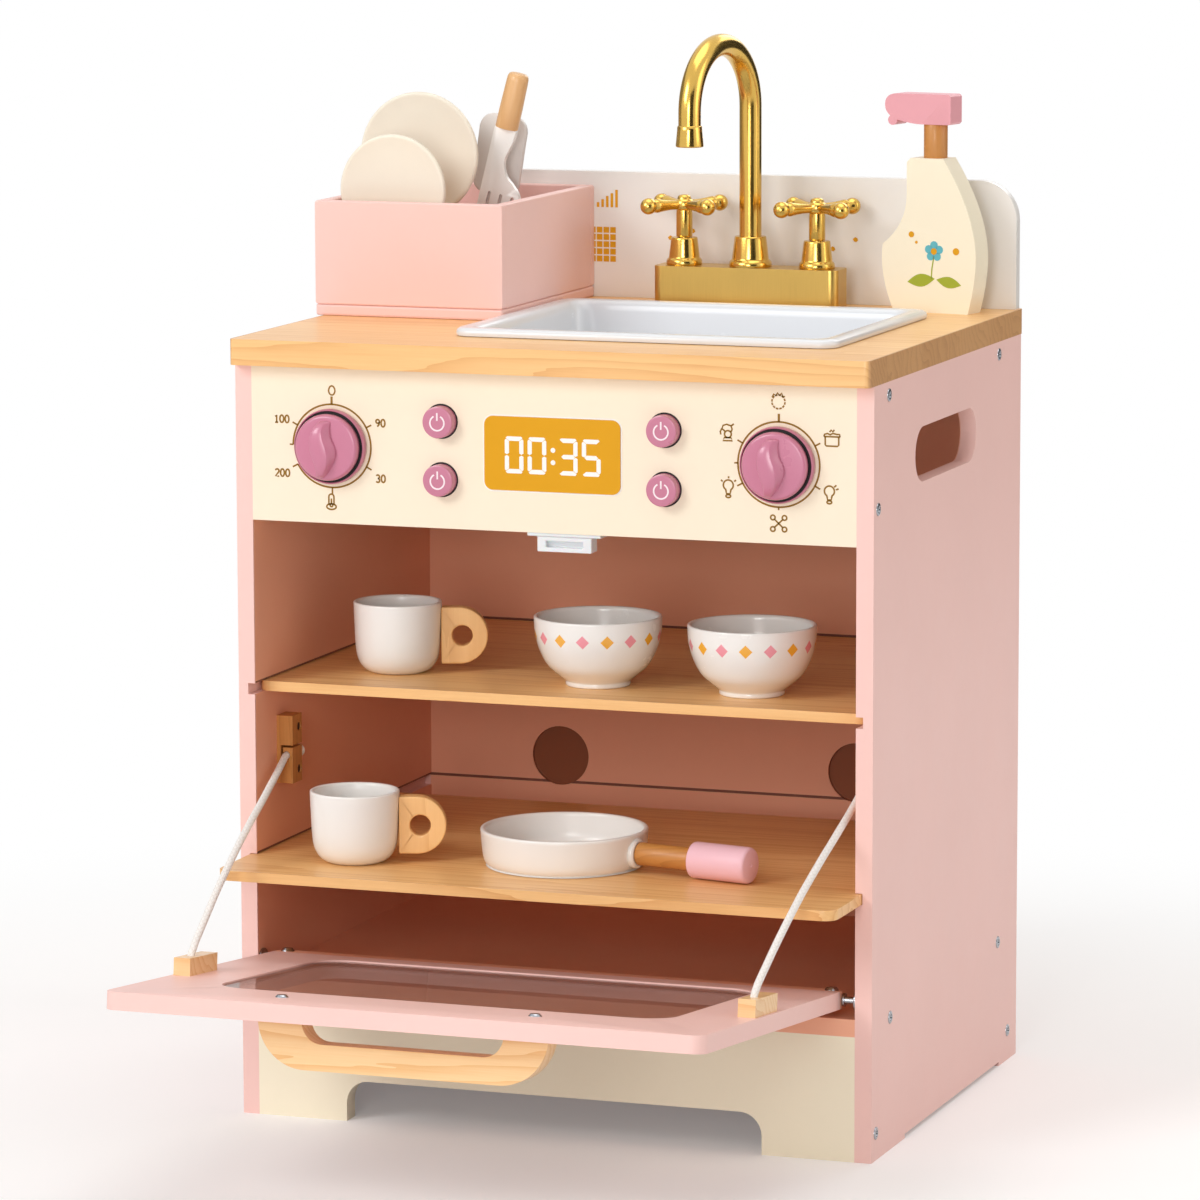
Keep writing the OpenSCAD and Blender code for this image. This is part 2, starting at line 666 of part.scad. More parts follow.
// The door lies in its own frame: the pins are its X axis, it runs towards -Y, its inside up
module door_place() at_front() translate([0, hinge_y, hinge_z]) rotate([-door_tilt, 0, 0]) children();
door_mid = hinge_inset - door_h / 2;
window_mid = hinge_inset - window_y - window_h / 2;
handle_mid = hinge_inset - door_h + handle_y;
pane_z = door_t / 2 - pane_t - 1;
post_x = handle_w / 2 - leg_w * 0.42;
module door_panel() color(pink) door_place() difference() {
    translate([0, door_mid, -door_t / 2]) linear_extrude(door_t) round_rect(door_w, door_h, door_r);
    translate([0, window_mid, -door_t]) linear_extrude(2 * door_t) round_rect(window_w, window_h, window_r);
    translate([0, window_mid, pane_z]) linear_extrude(door_t)
        round_rect(window_w + 2 * ledge_w, window_h + 2 * ledge_w, window_r + ledge_w);
    for (s = [-1, 1]) {
        translate([s * (door_w / 2 - 3), 0, 0]) rotate([0, 90, 0])
            cylinder(h = 10, r = pin_r + fit_gap, center = true);
        translate([s * bolt_x, 0, 0]) cylinder(h = 2 * door_t, r = bolt_r + fit_gap, center = true);
        translate([s * post_x - handle_shift, handle_mid, 0])
            cylinder(h = 2 * door_t, r = screw_r + fit_gap, center = true);
    }
}
module door_window() color([0.72, 0.68, 0.66, 0.4]) door_place()
    translate([0, window_mid, pane_z]) linear_extrude(pane_t)
        round_rect(window_w + 2 * ledge_w - 0.6, window_h + 2 * ledge_w - 0.6, window_r + ledge_w - 0.3);

// Bar and two legs cut from one board: the outline lies in XZ, with round outer and inner bends
module handle_outline() difference() {
    union() {
        translate([-handle_w / 2 + handle_h, -handle_h]) square([handle_w - 2 * handle_h, handle_h]);
        for (s = [-1, 1]) translate([s * (handle_w / 2 - handle_h), 0]) circle(handle_h);
    }
    translate([-handle_w, 0]) square([2 * handle_w, 2 * handle_h]);
    round_rect(handle_w - 2 * leg_w, 2 * (handle_h - handle_t), (handle_h - handle_t) * 0.88);
}
module door_handle() color(beech) door_place() difference() {
    translate([-handle_shift, handle_mid + handle_t / 2, -door_t / 2]) rotate([90, 0, 0])
        linear_extrude(handle_t) handle_outline();
    for (s = [-1, 1]) translate([s * post_x - handle_shift, handle_mid, -door_t / 2 - 14])
        cylinder(h = 15, r = screw_r + fit_gap);
}
module door_handle_screws() color(steel) door_place() for (s = [-1, 1])
    translate([s * post_x - handle_shift, handle_mid, 0]) {
        translate([0, 0, -door_t / 2 - 13]) cylinder(h = door_t + 13, r = screw_r);
        translate([0, 0, door_t / 2]) cylinder(h = 1.6, r1 = head_r, r2 = head_r - 1.4);
    }

module door_rope_blocks() color(beech) door_place() for (s = [-1, 1]) difference() {
    translate([s * (door_w / 2 - 8) - block_w / 2, -door_block_y - door_block_l / 2, door_t / 2])
        cube([block_w, door_block_l, door_block_h]);
    translate([s * (door_w / 2 - 8), -door_block_y - 8.5, door_t / 2 + door_block_h - 6])
        cylinder(h = 8, r = rope_d / 2 + rest_gap);
}

module door_hinge_pins() color(steel) door_place() for (m = [0, 1]) mirror([m, 0, 0]) {
    translate([pin_x0, 0, 0]) rotate([0, 90, 0]) cylinder(h = half_in + bush_l - 0.5 - pin_x0, r = pin_r);
    translate([door_w / 2 + 0.3, 0, 0]) rotate([0, 90, 0]) cylinder(h = 1.6, r = pin_r + 2);
    translate([bolt_x, 0, -door_t / 2 - 1.5]) cylinder(h = door_t + 2, r = bolt_r);
    translate([bolt_x, 0, door_t / 2]) cylinder(h = 2.2, r1 = 5, r2 = 3.4);
    translate([bolt_x, 0, -door_t / 2 - 2]) cylinder(h = 2, r1 = 3, r2 = 4);
}

module shelf(front, z) at_front() translate([0, front, z - shelf_t]) linear_extrude(shelf_t) {
    w = inner_w + 2 * (groove_d - groove_gap);
    translate([-w / 2, shelf_r]) square([w, shelf_d - shelf_r]);
    translate([-w / 2 + shelf_r, 0]) square([w - 2 * shelf_r, shelf_d]);
    for (s = [-1, 1]) translate([s * (w / 2 - shelf_r), shelf_r]) circle(shelf_r);
}
module upper_shelf() color(pine) shelf(shelf_recess, upper_z);
module lower_shelf() color(pine) shelf(-pull_out, lower_z);

// Frames along the ropes: ring i is square to the mean of its two stretches
function unit(v) = v / norm(v);
function ring(pts, i, r, n) = let (
    last = len(pts) - 1,
    dir = unit(pts[min(i + 1, last)] - pts[max(i - 1, 0)]),
    side = unit(cross(dir, [1, 0, 0])),
    up = cross(dir, side)
) [for (k = [0:n - 1]) pts[i] + r * (cos(360 * k / n) * side + sin(360 * k / n) * up)];
module swept_tube(pts, r, n) {
    rings = len(pts);
    skin = [for (i = [0:rings - 2], k = [0:n - 1]) let (a = i * n + k, b = i * n + (k + 1) % n)
        each [[a, b, a + n], [b, b + n, a + n]]];
    caps = [[for (k = [n - 1:-1:0]) k], [for (k = [0:n - 1]) (rings - 1) * n + k]];
    polyhedron([for (i = [0:rings - 1]) each ring(pts, i, r, n)], concat(skin, caps));
}
module rope_left() color(rope_white) at_front() swept_tube(rope_points, rope_d / 2, 8);
module rope_right() color(rope_white) at_front() mirror([1, 0, 0])
    swept_tube(rope_points, rope_d / 2, 8);

// Outline of a cup, from the middle of its base to its rim and back inside
function cup_side(r, foot, h, round) = concat([[0, 0], [foot, 0]],
    [for (a = [-75:15:0]) [r - round + round * cos(a), round + round * sin(a)]], [[r, h]]);
module cup(r, foot, h, round, wall) rotate_extrude() difference() {
    polygon(concat(cup_side(r, foot, h, round), [[0, h]]));
    translate([0, wall]) polygon(concat(cup_side(r - wall, foot, h, round - wall), [[0, h]]));
}
mug_foot = mug_r * 0.62;
mug_round = 15;
mug_at = [-half_in + 73.2, 85];
mug_lower_at = [-half_in + 74, 0];
bowl_right_at = [half_in - 96.5, 71];
bowl_left_at = [bowl_right_at[0] - 2.55 * bowl_r, 75];
mug_turn = 18;
ear_x = mug_r + 12.5;
module mug(p, z) at_front() translate([p[0], p[1], z]) cup(mug_r, mug_foot, mug_h, mug_round, mug_t);
module mug_ear(p, z) at_front() translate([p[0], p[1], z]) rotate([0, 0, mug_turn]) difference() {
    union() {
        along_y(ear_x, -mug_ear_t / 2, mug_h / 2 + 1) cylinder(h = mug_ear_t, r = mug_ear_r);
        slab([mug_r / 2, -mug_ear_t / 2, mug_h / 2 + 1 - mug_ear_r],
            [ear_x, mug_ear_t / 2, mug_h / 2 + 1 + mug_ear_r]);
    }
    along_y(ear_x + 2, -mug_ear_t / 2 - 1, mug_h / 2 + 1) cylinder(h = mug_ear_t + 2, r = 7.2);
    translate([0, 0, -1]) cylinder(h = mug_h + 2, r = mug_r);
}
module mug_upper() color(white) mug(mug_at, upper_z);
module mug_upper_handle() color(beech) mug_ear(mug_at, upper_z);
module mug_lower() color(white) mug(mug_lower_at, lower_z);
module mug_lower_handle() color(beech) mug_ear(mug_lower_at, lower_z);

// Bowl: a low foot, then a wall that swells towards the rim
function bowl_side(r, foot, h, lift) = concat([[foot, lift]],
    [for (a = [0:10:90]) [foot + (r - foot) * sin(a), lift + 4 + (h - lift - 4) * (1 - cos(a))]]);
module bowl(x, y) color(white) at_front() translate([x, y, upper_z]) rotate_extrude() difference() {
    polygon(concat([[0, 0], [bowl_foot_r - 1, 0]], bowl_side(bowl_r, bowl_foot_r, bowl_h, 3), [[0, bowl_h]]));
    polygon(concat([[0, 3 + bowl_t]], bowl_side(bowl_r - bowl_t, bowl_foot_r, bowl_h + 0.1, 3 + bowl_t),
            [[0, bowl_h + 0.1]]));
}
module bowl_left() bowl(bowl_left_at[0], bowl_left_at[1]);
module bowl_right() bowl(bowl_right_at[0], bowl_right_at[1]);

pan_at = [-3, 36];
pan_turn = -11;
grip_z = grip_r;
module pan_place() at_front() translate([pan_at[0], pan_at[1], lower_z]) rotate([0, 0, pan_turn]) children();
module pan() color(white) pan_place() difference() {
    cup(pan_r, pan_r * 0.86, pan_h, 12, pan_t);
    along_x(pan_r - pan_t - 1, 0, grip_z) cylinder(h = 12, r = 3 + fit_gap);
}
module pan_handle() color(beech) pan_place() {
    difference() {
        along_x(pan_r - 1, 0, grip_z) cylinder(h = stem_l + 1, r = 8);
        translate([0, 0, -1]) cylinder(h = pan_h + 5, r = pan_r);
    }
    along_x(pan_r - pan_t + 0.5, 0, grip_z) cylinder(h = 10, r = 3);
    along_x(pan_r + stem_l - 1, 0, grip_z) cylinder(h = 12, r = 4);
}
module pan_grip() color(mauve) pan_place() difference() {
    along_x(pan_r + stem_l, 0, grip_z) cylinder(h = grip_l, r = grip_r);
    along_x(pan_r + stem_l - 1, 0, grip_z) cylinder(h = 13, r = 4 + fit_gap);
}

// Plate standing on its rim, dished towards the front
module plate(r, y, bottom) color(cream) at_front()
    along_y(plate_x, y - plate_t / 2, bottom + r) difference() {
    rotate_extrude() polygon(concat([[0, 0]],
        [for (a = [-90:15:90]) [r - plate_t / 2 + plate_t / 2 * cos(a), plate_t / 2 + plate_t / 2 * sin(a)]],
        [[0, plate_t]]));
    translate([0, 0, -1]) cylinder(h = 2.6, r1 = r - 8, r2 = r - 12);
}
module plate_large() plate(plate_r, plate_y, plate_bottom);
module plate_small() plate(small_plate_r, small_plate_y, small_plate_bottom);

// Fork leaning in the box: a slotted blade and a round wooden handle on its tang
fork_at = [box_x + box_w - box_t - 57, box_y + 104];
fork_lean = 14;
fork_z = top_z + box_t + 18 * sin(fork_lean) - 4 * cos(fork_lean);
module fork_place() at_front()
    translate([fork_at[0], fork_at[1], fork_z]) rotate([0, fork_lean, 0]) children();
module fork() color(white) fork_place() facing(-2, 4) difference() {
    polygon([[-9, 4], [18, 4], [25, 40], [25, 52], [20, 64], [9, 80], [9, 124], [4, 124], [4, 140],
        [-4, 140], [-4, 124], [-9, 124]]);
    for (x = [-3, 4, 11]) translate([x, 34]) round_rect(2.6, 48, 1.25);
}
module fork_handle() color(beech) fork_place() difference() {
    translate([0, 0, 124]) cylinder(h = 40, r1 = 8.3, r2 = 7.6);
    translate([-4 - fit_gap, -2 - fit_gap, 123]) cube([8 + 2 * fit_gap, 4 + 2 * fit_gap, 17.2]);
}
spatula_at = [box_x + box_w - box_t - 60, box_y + 126];
spatula_lean = 9;
module spatula() color(white) at_front()
    translate([spatula_at[0], spatula_at[1], top_z + box_t + 6 * sin(spatula_lean)])
    rotate([0, spatula_lean, 0]) facing(-2, 4) {
        translate([0, 100]) round_rect(36, 58, 10);
        translate([0, 40]) square([12, 80], center = true);
    }

// Spray bottle: a thick board with a waisted outline, a round neck and a shaped head
bottle_at = [cab_w / 2 - 50.5, splash_y - 31];
bottle_turn = -10;
module bottle_place() at_front() translate([bottle_at[0], bottle_at[1], top_z])
    rotate([0, 0, bottle_turn]) children();
function bend(a, b, c) = [for (t = [0.125:0.125:1]) (1 - t) * (1 - t) * a + 2 * t * (1 - t) * b + t * t * c];
module bottle_outline() polygon(concat([[-31, 0]], bend([-31, 0], [-43, 26], [-40, 48]),
    bend([-40, 48], [-21, 62], [-21, 84]), [[-21, bottle_h - 3], [-18, bottle_h], [8, bottle_h]],
    bend([8, bottle_h], [32, 74], [34, 44]), bend([34, 44], [35, 26], [28, 0])));
module spray_bottle() color(cream) bottle_place() difference() {
    facing(-bottle_t / 2, bottle_t) bottle_outline();
    translate([-3, 0, bottle_h - 14]) cylinder(h = 15, r = neck_r - 3 + fit_gap);
}
module spray_neck() color(beech) bottle_place() translate([-3, 0, 0]) {
    translate([0, 0, bottle_h]) cylinder(h = 24, r = neck_r);
    translate([0, 0, bottle_h - 13]) cylinder(h = 13.5, r = neck_r - 3);
    translate([0, 0, bottle_h + 23.5]) cylinder(h = 10.5, r = neck_r - 3);
}
module spray_head() color(mauve) bottle_place() difference() {
    facing(-9, 18) translate([0, bottle_h + 24]) {
        polygon(concat([[13, 1.5], [13, 20], [11.5, 21.5], [-30, 21.5]],
            bend([-30, 21.5], [-40, 21], [-39, 12]), bend([-39, 12], [-38, 6], [-30, 3]),
            bend([-30, 3], [-18, 0], [-10, 0]), [[11.5, 0]]));
        translate([-33, 2.5]) circle(3.6);
    }
    translate([-3, 0, bottle_h + 23]) cylinder(h = 12, r = neck_r - 3 + fit_gap);
}

left_side_panel();
right_side_panel();
control_panel();
top_rails();
back_panel();
floor_panel();
front_plinth();
rear_plinth();
worktop();
splash_board();
sink_basin();
box_base();
box_boards();
dish_rack();
side_screws();
door_catch();
display_plate();
tap_base();
tap_bonnets();
wall_rope_blocks();
hinge_bushes();
button_guides();
rope_left();
rope_right();
dial_left();
dial_right();
button_upper_left();
button_lower_left();
button_upper_right();
button_lower_right();
spout_tube();
spout_tip();
tap_handle_left();
tap_handle_right();
door_panel();
door_window();
door_handle();
door_handle_screws();
door_rope_blocks();
door_hinge_pins();
upper_shelf();
lower_shelf();
mug_upper();
mug_upper_handle();
mug_lower();
mug_lower_handle();
bowl_left();
bowl_right();
pan();
pan_handle();
pan_grip();
plate_large();
plate_small();
fork();
fork_handle();
spatula();
spray_bottle();
spray_neck();
spray_head();
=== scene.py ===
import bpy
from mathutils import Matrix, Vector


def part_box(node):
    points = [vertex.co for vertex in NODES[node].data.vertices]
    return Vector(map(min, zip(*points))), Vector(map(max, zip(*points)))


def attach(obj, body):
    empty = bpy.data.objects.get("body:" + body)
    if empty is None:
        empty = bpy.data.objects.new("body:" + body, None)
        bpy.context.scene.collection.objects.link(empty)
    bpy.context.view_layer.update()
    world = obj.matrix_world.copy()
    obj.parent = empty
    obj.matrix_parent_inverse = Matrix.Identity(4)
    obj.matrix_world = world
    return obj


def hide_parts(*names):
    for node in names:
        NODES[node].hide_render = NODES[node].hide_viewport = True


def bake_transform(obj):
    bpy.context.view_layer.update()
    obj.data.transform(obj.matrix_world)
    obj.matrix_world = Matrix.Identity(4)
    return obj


bl_info = {
    "name": "Play kitchen with drop-down oven door",
    "version": (1, 0, 0),
    "blender": (4, 5, 0),
    "location": "View3D > Sidebar > Kitchen",
    "description": "Dresses the packed play kitchen: paint, wood, brass, dials, prints, ropes and play ware",
    "category": "Object",
}

import math

import bmesh
import bpy
from mathutils import Matrix, Vector

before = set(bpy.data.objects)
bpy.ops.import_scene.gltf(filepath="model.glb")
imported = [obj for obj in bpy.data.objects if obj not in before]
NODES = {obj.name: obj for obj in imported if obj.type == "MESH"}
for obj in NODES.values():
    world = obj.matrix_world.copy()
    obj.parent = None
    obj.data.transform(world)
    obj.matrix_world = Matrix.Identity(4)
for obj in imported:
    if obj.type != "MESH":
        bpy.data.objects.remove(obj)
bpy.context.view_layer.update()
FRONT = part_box("left_side_panel")[0][1]      # plane of the side panels' front edges
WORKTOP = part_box("worktop")[1][2]            # height of the worktop's upper face
TAU = 2 * math.pi
# Takes a drawing's X to the right, its Y up and its thickness (or a lathe's axis) towards the front
UPRIGHT = Matrix(((1, 0, 0, 0), (0, 0, -1, 0), (0, 1, 0, 0), (0, 0, 0, 1)))
SIDEWAYS = Matrix.Rotation(math.pi / 2, 4, "Y")


def mm(x, y, z):
    """A point given in millimetres from the cabinet's middle, front plane and floor"""
    return Vector((x / 1000, FRONT + y / 1000, z / 1000))


def box(node):
    """Low corner, high corner and middle of a CAD node"""
    low, high = (Vector(corner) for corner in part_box(node))
    return low, high, (low + high) / 2


# ---------------------------------------------------------------- sizes and colours

def length_prop(name, words, value):
    return bpy.props.FloatProperty(name=name, description=words, default=value, min=0.0, unit="LENGTH")


def colour_prop(name, words, value):
    return bpy.props.FloatVectorProperty(
        name=name, description=words, subtype="COLOR", size=3, min=0, max=1, default=value)


class KitchenSizes(bpy.types.PropertyGroup):
    """Sizes that a user may want to change"""
    board_edge: length_prop("Board edge", "Radius of the painted boards' edges", 0.0016)
    wood_edge: length_prop("Wood edge", "Radius of the worktop's edges", 0.0022)
    print_height: length_prop("Print height", "How far the printed marks stand on the board", 0.00018)
    ring_radius: length_prop("Ring radius", "Radius of the printed ring round each dial", 0.0287)
    digit_height: length_prop("Digit height", "Height of the digits in the display", 0.0252)
    rope_diameter: length_prop("Rope diameter", "Diameter of the door's ropes", 0.005)
    diamonds: bpy.props.IntProperty(
        name="Diamonds", description="Number of printed diamonds round each bowl", default=16, min=6, max=40)


class KitchenColours(bpy.types.PropertyGroup):
    """Colours of the finishes, as linear values"""
    pink: colour_prop("Pink paint", "Side panels and door", (0.93, 0.612, 0.562))
    inner_shade_pink: colour_prop("Inner pink", "Inside of the oven", (0.93, 0.465, 0.305))
    # The inner pink is the same pink paint with painted shade: a deeper tone for the shaded inside of the oven
    cream: colour_prop("Cream paint", "Control panel", (0.935, 0.82, 0.645))
    white: colour_prop("White", "Splash board, mugs, bowls and pan", (0.88, 0.86, 0.83))
    mauve: colour_prop("Mauve paint", "Dials and push buttons", (0.57, 0.19, 0.29))
    rose: colour_prop("Rose paint", "Spray head", (0.82, 0.39, 0.44))
    mustard: colour_prop("Mustard print", "Display and prints", (0.73, 0.345, 0.002))
    brass: colour_prop("Brass", "Tap, spout and handles", (0.70, 0.44, 0.10))
    pine_light: colour_prop("Pine, light", "Early wood of worktop and shelves", (0.95, 0.58, 0.245))
    pine_dark: colour_prop("Pine, dark", "Late wood of worktop and shelves", (0.70, 0.32, 0.09))
    beech_light: colour_prop("Beech, light", "Light streaks of the blocks", (0.60, 0.26, 0.064))
    beech_dark: colour_prop("Beech, dark", "Dark streaks of the blocks", (0.38, 0.135, 0.022))
    plate: colour_prop("Plate cream", "Plates", (0.90, 0.83, 0.70))


def sizes():
    return bpy.context.scene.kitchen_sizes


# ---------------------------------------------------------------- node graphs

class Value:
    """An output socket that takes part in arithmetic: each operation adds a Math node"""

    def __init__(self, wire, socket):
        self.wire, self.socket = wire, socket

    def op(self, operation, *others, clamp=False):
        return self.wire.math(operation, self, *others, clamp=clamp)

    def __add__(self, other):
        return self.op("ADD", other)

    def __sub__(self, other):
        return self.op("SUBTRACT", other)

    def __rsub__(self, other):
        return self.wire.math("SUBTRACT", other, self)

    def __mul__(self, other):
        return self.op("MULTIPLY", other)

    def __abs__(self):
        return self.op("ABSOLUTE")

    def ramp(self, low, high, to_low=0.0, to_high=1.0):
        """A smooth step between two values"""
        return self.wire.get("ShaderNodeMapRange", [self, low, high, to_low, to_high],
                             interpolation_type="SMOOTHSTEP")


class Wiring:
    """Adds nodes to a tree and wires them, so that each graph reads as a list of steps"""

    def __init__(self, tree):
        self.tree = tree

    def feed(self, socket, value):
        if isinstance(value, Value):
            value = value.socket
        if hasattr(value, "is_output"):
            self.tree.links.new(value, socket)
        elif hasattr(value, "__len__") and len(socket.default_value) == 4 and len(value) == 3:
            socket.default_value = (*value, 1)
        else:
            socket.default_value = value

    def add(self, kind, fed=(), **settings):
        """A new node; fed holds what its inputs get, by their names or in their order"""
        node = self.tree.nodes.new(kind)
        for key, value in settings.items():
            setattr(node, key, value)
        for key, value in (fed if isinstance(fed, dict) else dict(enumerate(fed))).items():
            self.feed(node.inputs[key], value)
        return node

    def get(self, kind, fed=(), output=0, **settings):
        """One output of a new node, ready for arithmetic"""
        return Value(self, self.add(kind, fed, **settings).outputs[output])

    def math(self, operation, *values, clamp=False):
        return self.get("ShaderNodeMath", values, operation=operation, use_clamp=clamp)

    def noise(self, vector, scale, detail=2.0, rough=0.5):
        return self.get("ShaderNodeTexNoise", {
            "Vector": vector, "Scale": scale, "Detail": detail, "Roughness": rough}, "Fac")

    def stretch(self, vector, scale):
        return self.get("ShaderNodeMapping", {"Vector": vector, "Scale": scale})

    def mix(self, factor, a, b):
        return self.get("ShaderNodeMix", {0: factor, 6: a, 7: b}, 2, data_type="RGBA")

    def split(self, vector):
        return [Value(self, part) for part in self.add("ShaderNodeSeparateXYZ", [vector]).outputs]

    def seen(self):
        """1 for rays that show a thing itself: straight, mirrored or through glass"""
        camera, glossy, through = (self.get("ShaderNodeLightPath", output=f"Is {kind} Ray")
                                   for kind in ("Camera", "Glossy", "Transmission"))
        return camera.op("MAXIMUM", glossy.op("MAXIMUM", through))


GROUPS = {}
FINISH = {}
NUMBER = "NodeSocketFloat"


def new_group(name, inputs):
    """A finish as a node group: its wiring, its inputs by name, and a function that ends it"""
    tree = bpy.data.node_groups.new(name, "ShaderNodeTree")
    tree.interface.new_socket("Vector", in_out="INPUT", socket_type="NodeSocketVector")
    for label, value in inputs.items():
        kind = "NodeSocketColor" if isinstance(value, tuple) else NUMBER
        tree.interface.new_socket(label, in_out="INPUT", socket_type=kind).default_value = value
    for label, kind in (("Colour", "NodeSocketColor"), ("Roughness", NUMBER), ("Height", NUMBER)):
        tree.interface.new_socket(label, in_out="OUTPUT", socket_type=kind)
    wire = Wiring(tree)
    given = wire.add("NodeGroupInput").outputs

    def finish(colour, rough, height):
        wire.add("NodeGroupOutput", [colour, rough, height])
    GROUPS[name] = tree
    return wire, {label: Value(wire, given[label]) for label in ("Vector", *inputs)}, finish


def make_paint_group():
    """Sprayed paint on board: faint clouding, a soft orange peel and a little handling dirt"""
    wire, given, finish = new_group("Sprayed paint", {
        "Colour": (0.8, 0.8, 0.8, 1), "Clouding": 0.05, "Peel scale": 900.0, "Roughness": 0.42})
    where = given["Vector"]
    cloud, fine, wear = wire.noise(where, 9.0, 3.0, 0.55), wire.noise(where, 160.0), wire.noise(where, 42.0, 4.0, 0.6)
    tone = (cloud - 0.5) * 1.4 + (fine - 0.5) * 0.35
    tinted = wire.get("ShaderNodeHueSaturation", {
        "Color": given["Colour"], "Value": tone * given["Clouding"] + 1.0})
    rough = given["Roughness"].op("ADD", (wear - 0.5) * 0.16, clamp=True)
    finish(tinted, rough, wire.noise(where, given["Peel scale"]))


def make_wood_group():
    """Lacquered wood with its grain along X: staves, year rings, fibres and a few pores"""
    wire, given, finish = new_group("Wood grain", {
        "Light": (0.9, 0.6, 0.3, 1), "Dark": (0.6, 0.3, 0.1, 1), "Stave": 0.045, "Rings": 90.0, "Contrast": 0.6})
    where = given["Vector"]
    stave = (wire.split(where)[1] + 0.013).op("DIVIDE", given["Stave"]).op("FLOOR")
    chance = wire.get("ShaderNodeTexWhiteNoise", {"W": stave + 3.7}, noise_dimensions="1D")
    slip = wire.get("ShaderNodeCombineXYZ", [chance * 5.0, chance * 0.7, chance * 2.3])
    moved = wire.get("ShaderNodeVectorMath", [where, slip], operation="ADD")
    along = wire.stretch(moved, (0.62, 7.0, 7.0))
    bend, sway = wire.noise(along, 2.6), wire.noise(along, 9.0, 3.0, 0.55)
    _, y, z = wire.split(moved)
    rings = (y + z * 0.55) * given["Rings"] + (bend * 8.0 + sway * 1.4)
    late = rings.op("FRACT").op("POWER", 2.6)
    fibre_map = wire.stretch(moved, (1.0, 42.0, 42.0))
    fibre = wire.noise(fibre_map, 22.0, 4.0, 0.62)
    pores = wire.noise(fibre_map, 60.0, 2.0, 0.7).ramp(0.66, 0.76)
    amount = late * 0.55 + fibre * 0.5 - 0.22 + (chance - 0.5) * 0.35
    body = wire.mix(amount.op("MULTIPLY", given["Contrast"], clamp=True), given["Light"], given["Dark"])
    finish(wire.mix(pores * 0.35, body, given["Dark"]), fibre * 0.16 + 0.36, fibre * 0.7 - pores * 0.8)


def make_metal_group():
    """Brushed and lacquered metal: fine streaks, smudges and soft tone changes"""
    wire, given, finish = new_group("Brushed metal", {
        "Colour": (0.8, 0.6, 0.2, 1), "Streak": 0.35, "Roughness": 0.22})
    where = given["Vector"]
    streak = wire.noise(wire.stretch(where, (1.0, 1.0, 60.0)), 42.0, 3.0, 0.6)
    smudge = wire.noise(where, 26.0, 3.0, 0.55)
    amount = (streak - 0.5) * given["Streak"]
    tinted = wire.get("ShaderNodeHueSaturation", {"Color": given["Colour"], "Value": amount * 0.35 + 1.0})
    rough = given["Roughness"].op("ADD", amount * 0.30 + (smudge - 0.5) * 0.14, clamp=True)
    finish(tinted, rough, streak)


# ---------------------------------------------------------------- materials

def new_material(name, kind="ShaderNodeBsdfPrincipled"):
    """An otherwise empty material with one shader on its surface: its wiring and that shader"""
    material = FINISH[name] = bpy.data.materials.new(name)
    material.use_nodes = True
    material.node_tree.nodes.clear()
    wire = Wiring(material.node_tree)
    surface = wire.add(kind)
    wire.add("ShaderNodeOutputMaterial", [surface.outputs[0]])
    return wire, surface


def add_relief(wire, surface, height, strength):
    relief = wire.get("ShaderNodeBump", {"Strength": strength, "Distance": 0.0004, "Height": height})
    wire.feed(surface.inputs["Normal"], relief)


def finish_material(name, group, values, bump, turn=(0, 0, 0), **shader):
    """A material that takes colour, roughness and height from one of the node groups"""
    wire, surface = new_material(name)
    place = wire.get("ShaderNodeTexCoord", output="Object")
    aim = wire.get("ShaderNodeMapping", {"Vector": place, "Rotation": turn})
    effect = wire.add("ShaderNodeGroup", node_tree=GROUPS[group])
    for key, value in {"Vector": aim, **values}.items():
        wire.feed(effect.inputs[key], value)
    wire.feed(surface.inputs["Base Color"], effect.outputs["Colour"])
    wire.feed(surface.inputs["Roughness"], effect.outputs["Roughness"])
    add_relief(wire, surface, effect.outputs["Height"], bump)
    for key, value in shader.items():
        surface.inputs[key.replace("_", " ")].default_value = value
    return wire, surface, effect, place


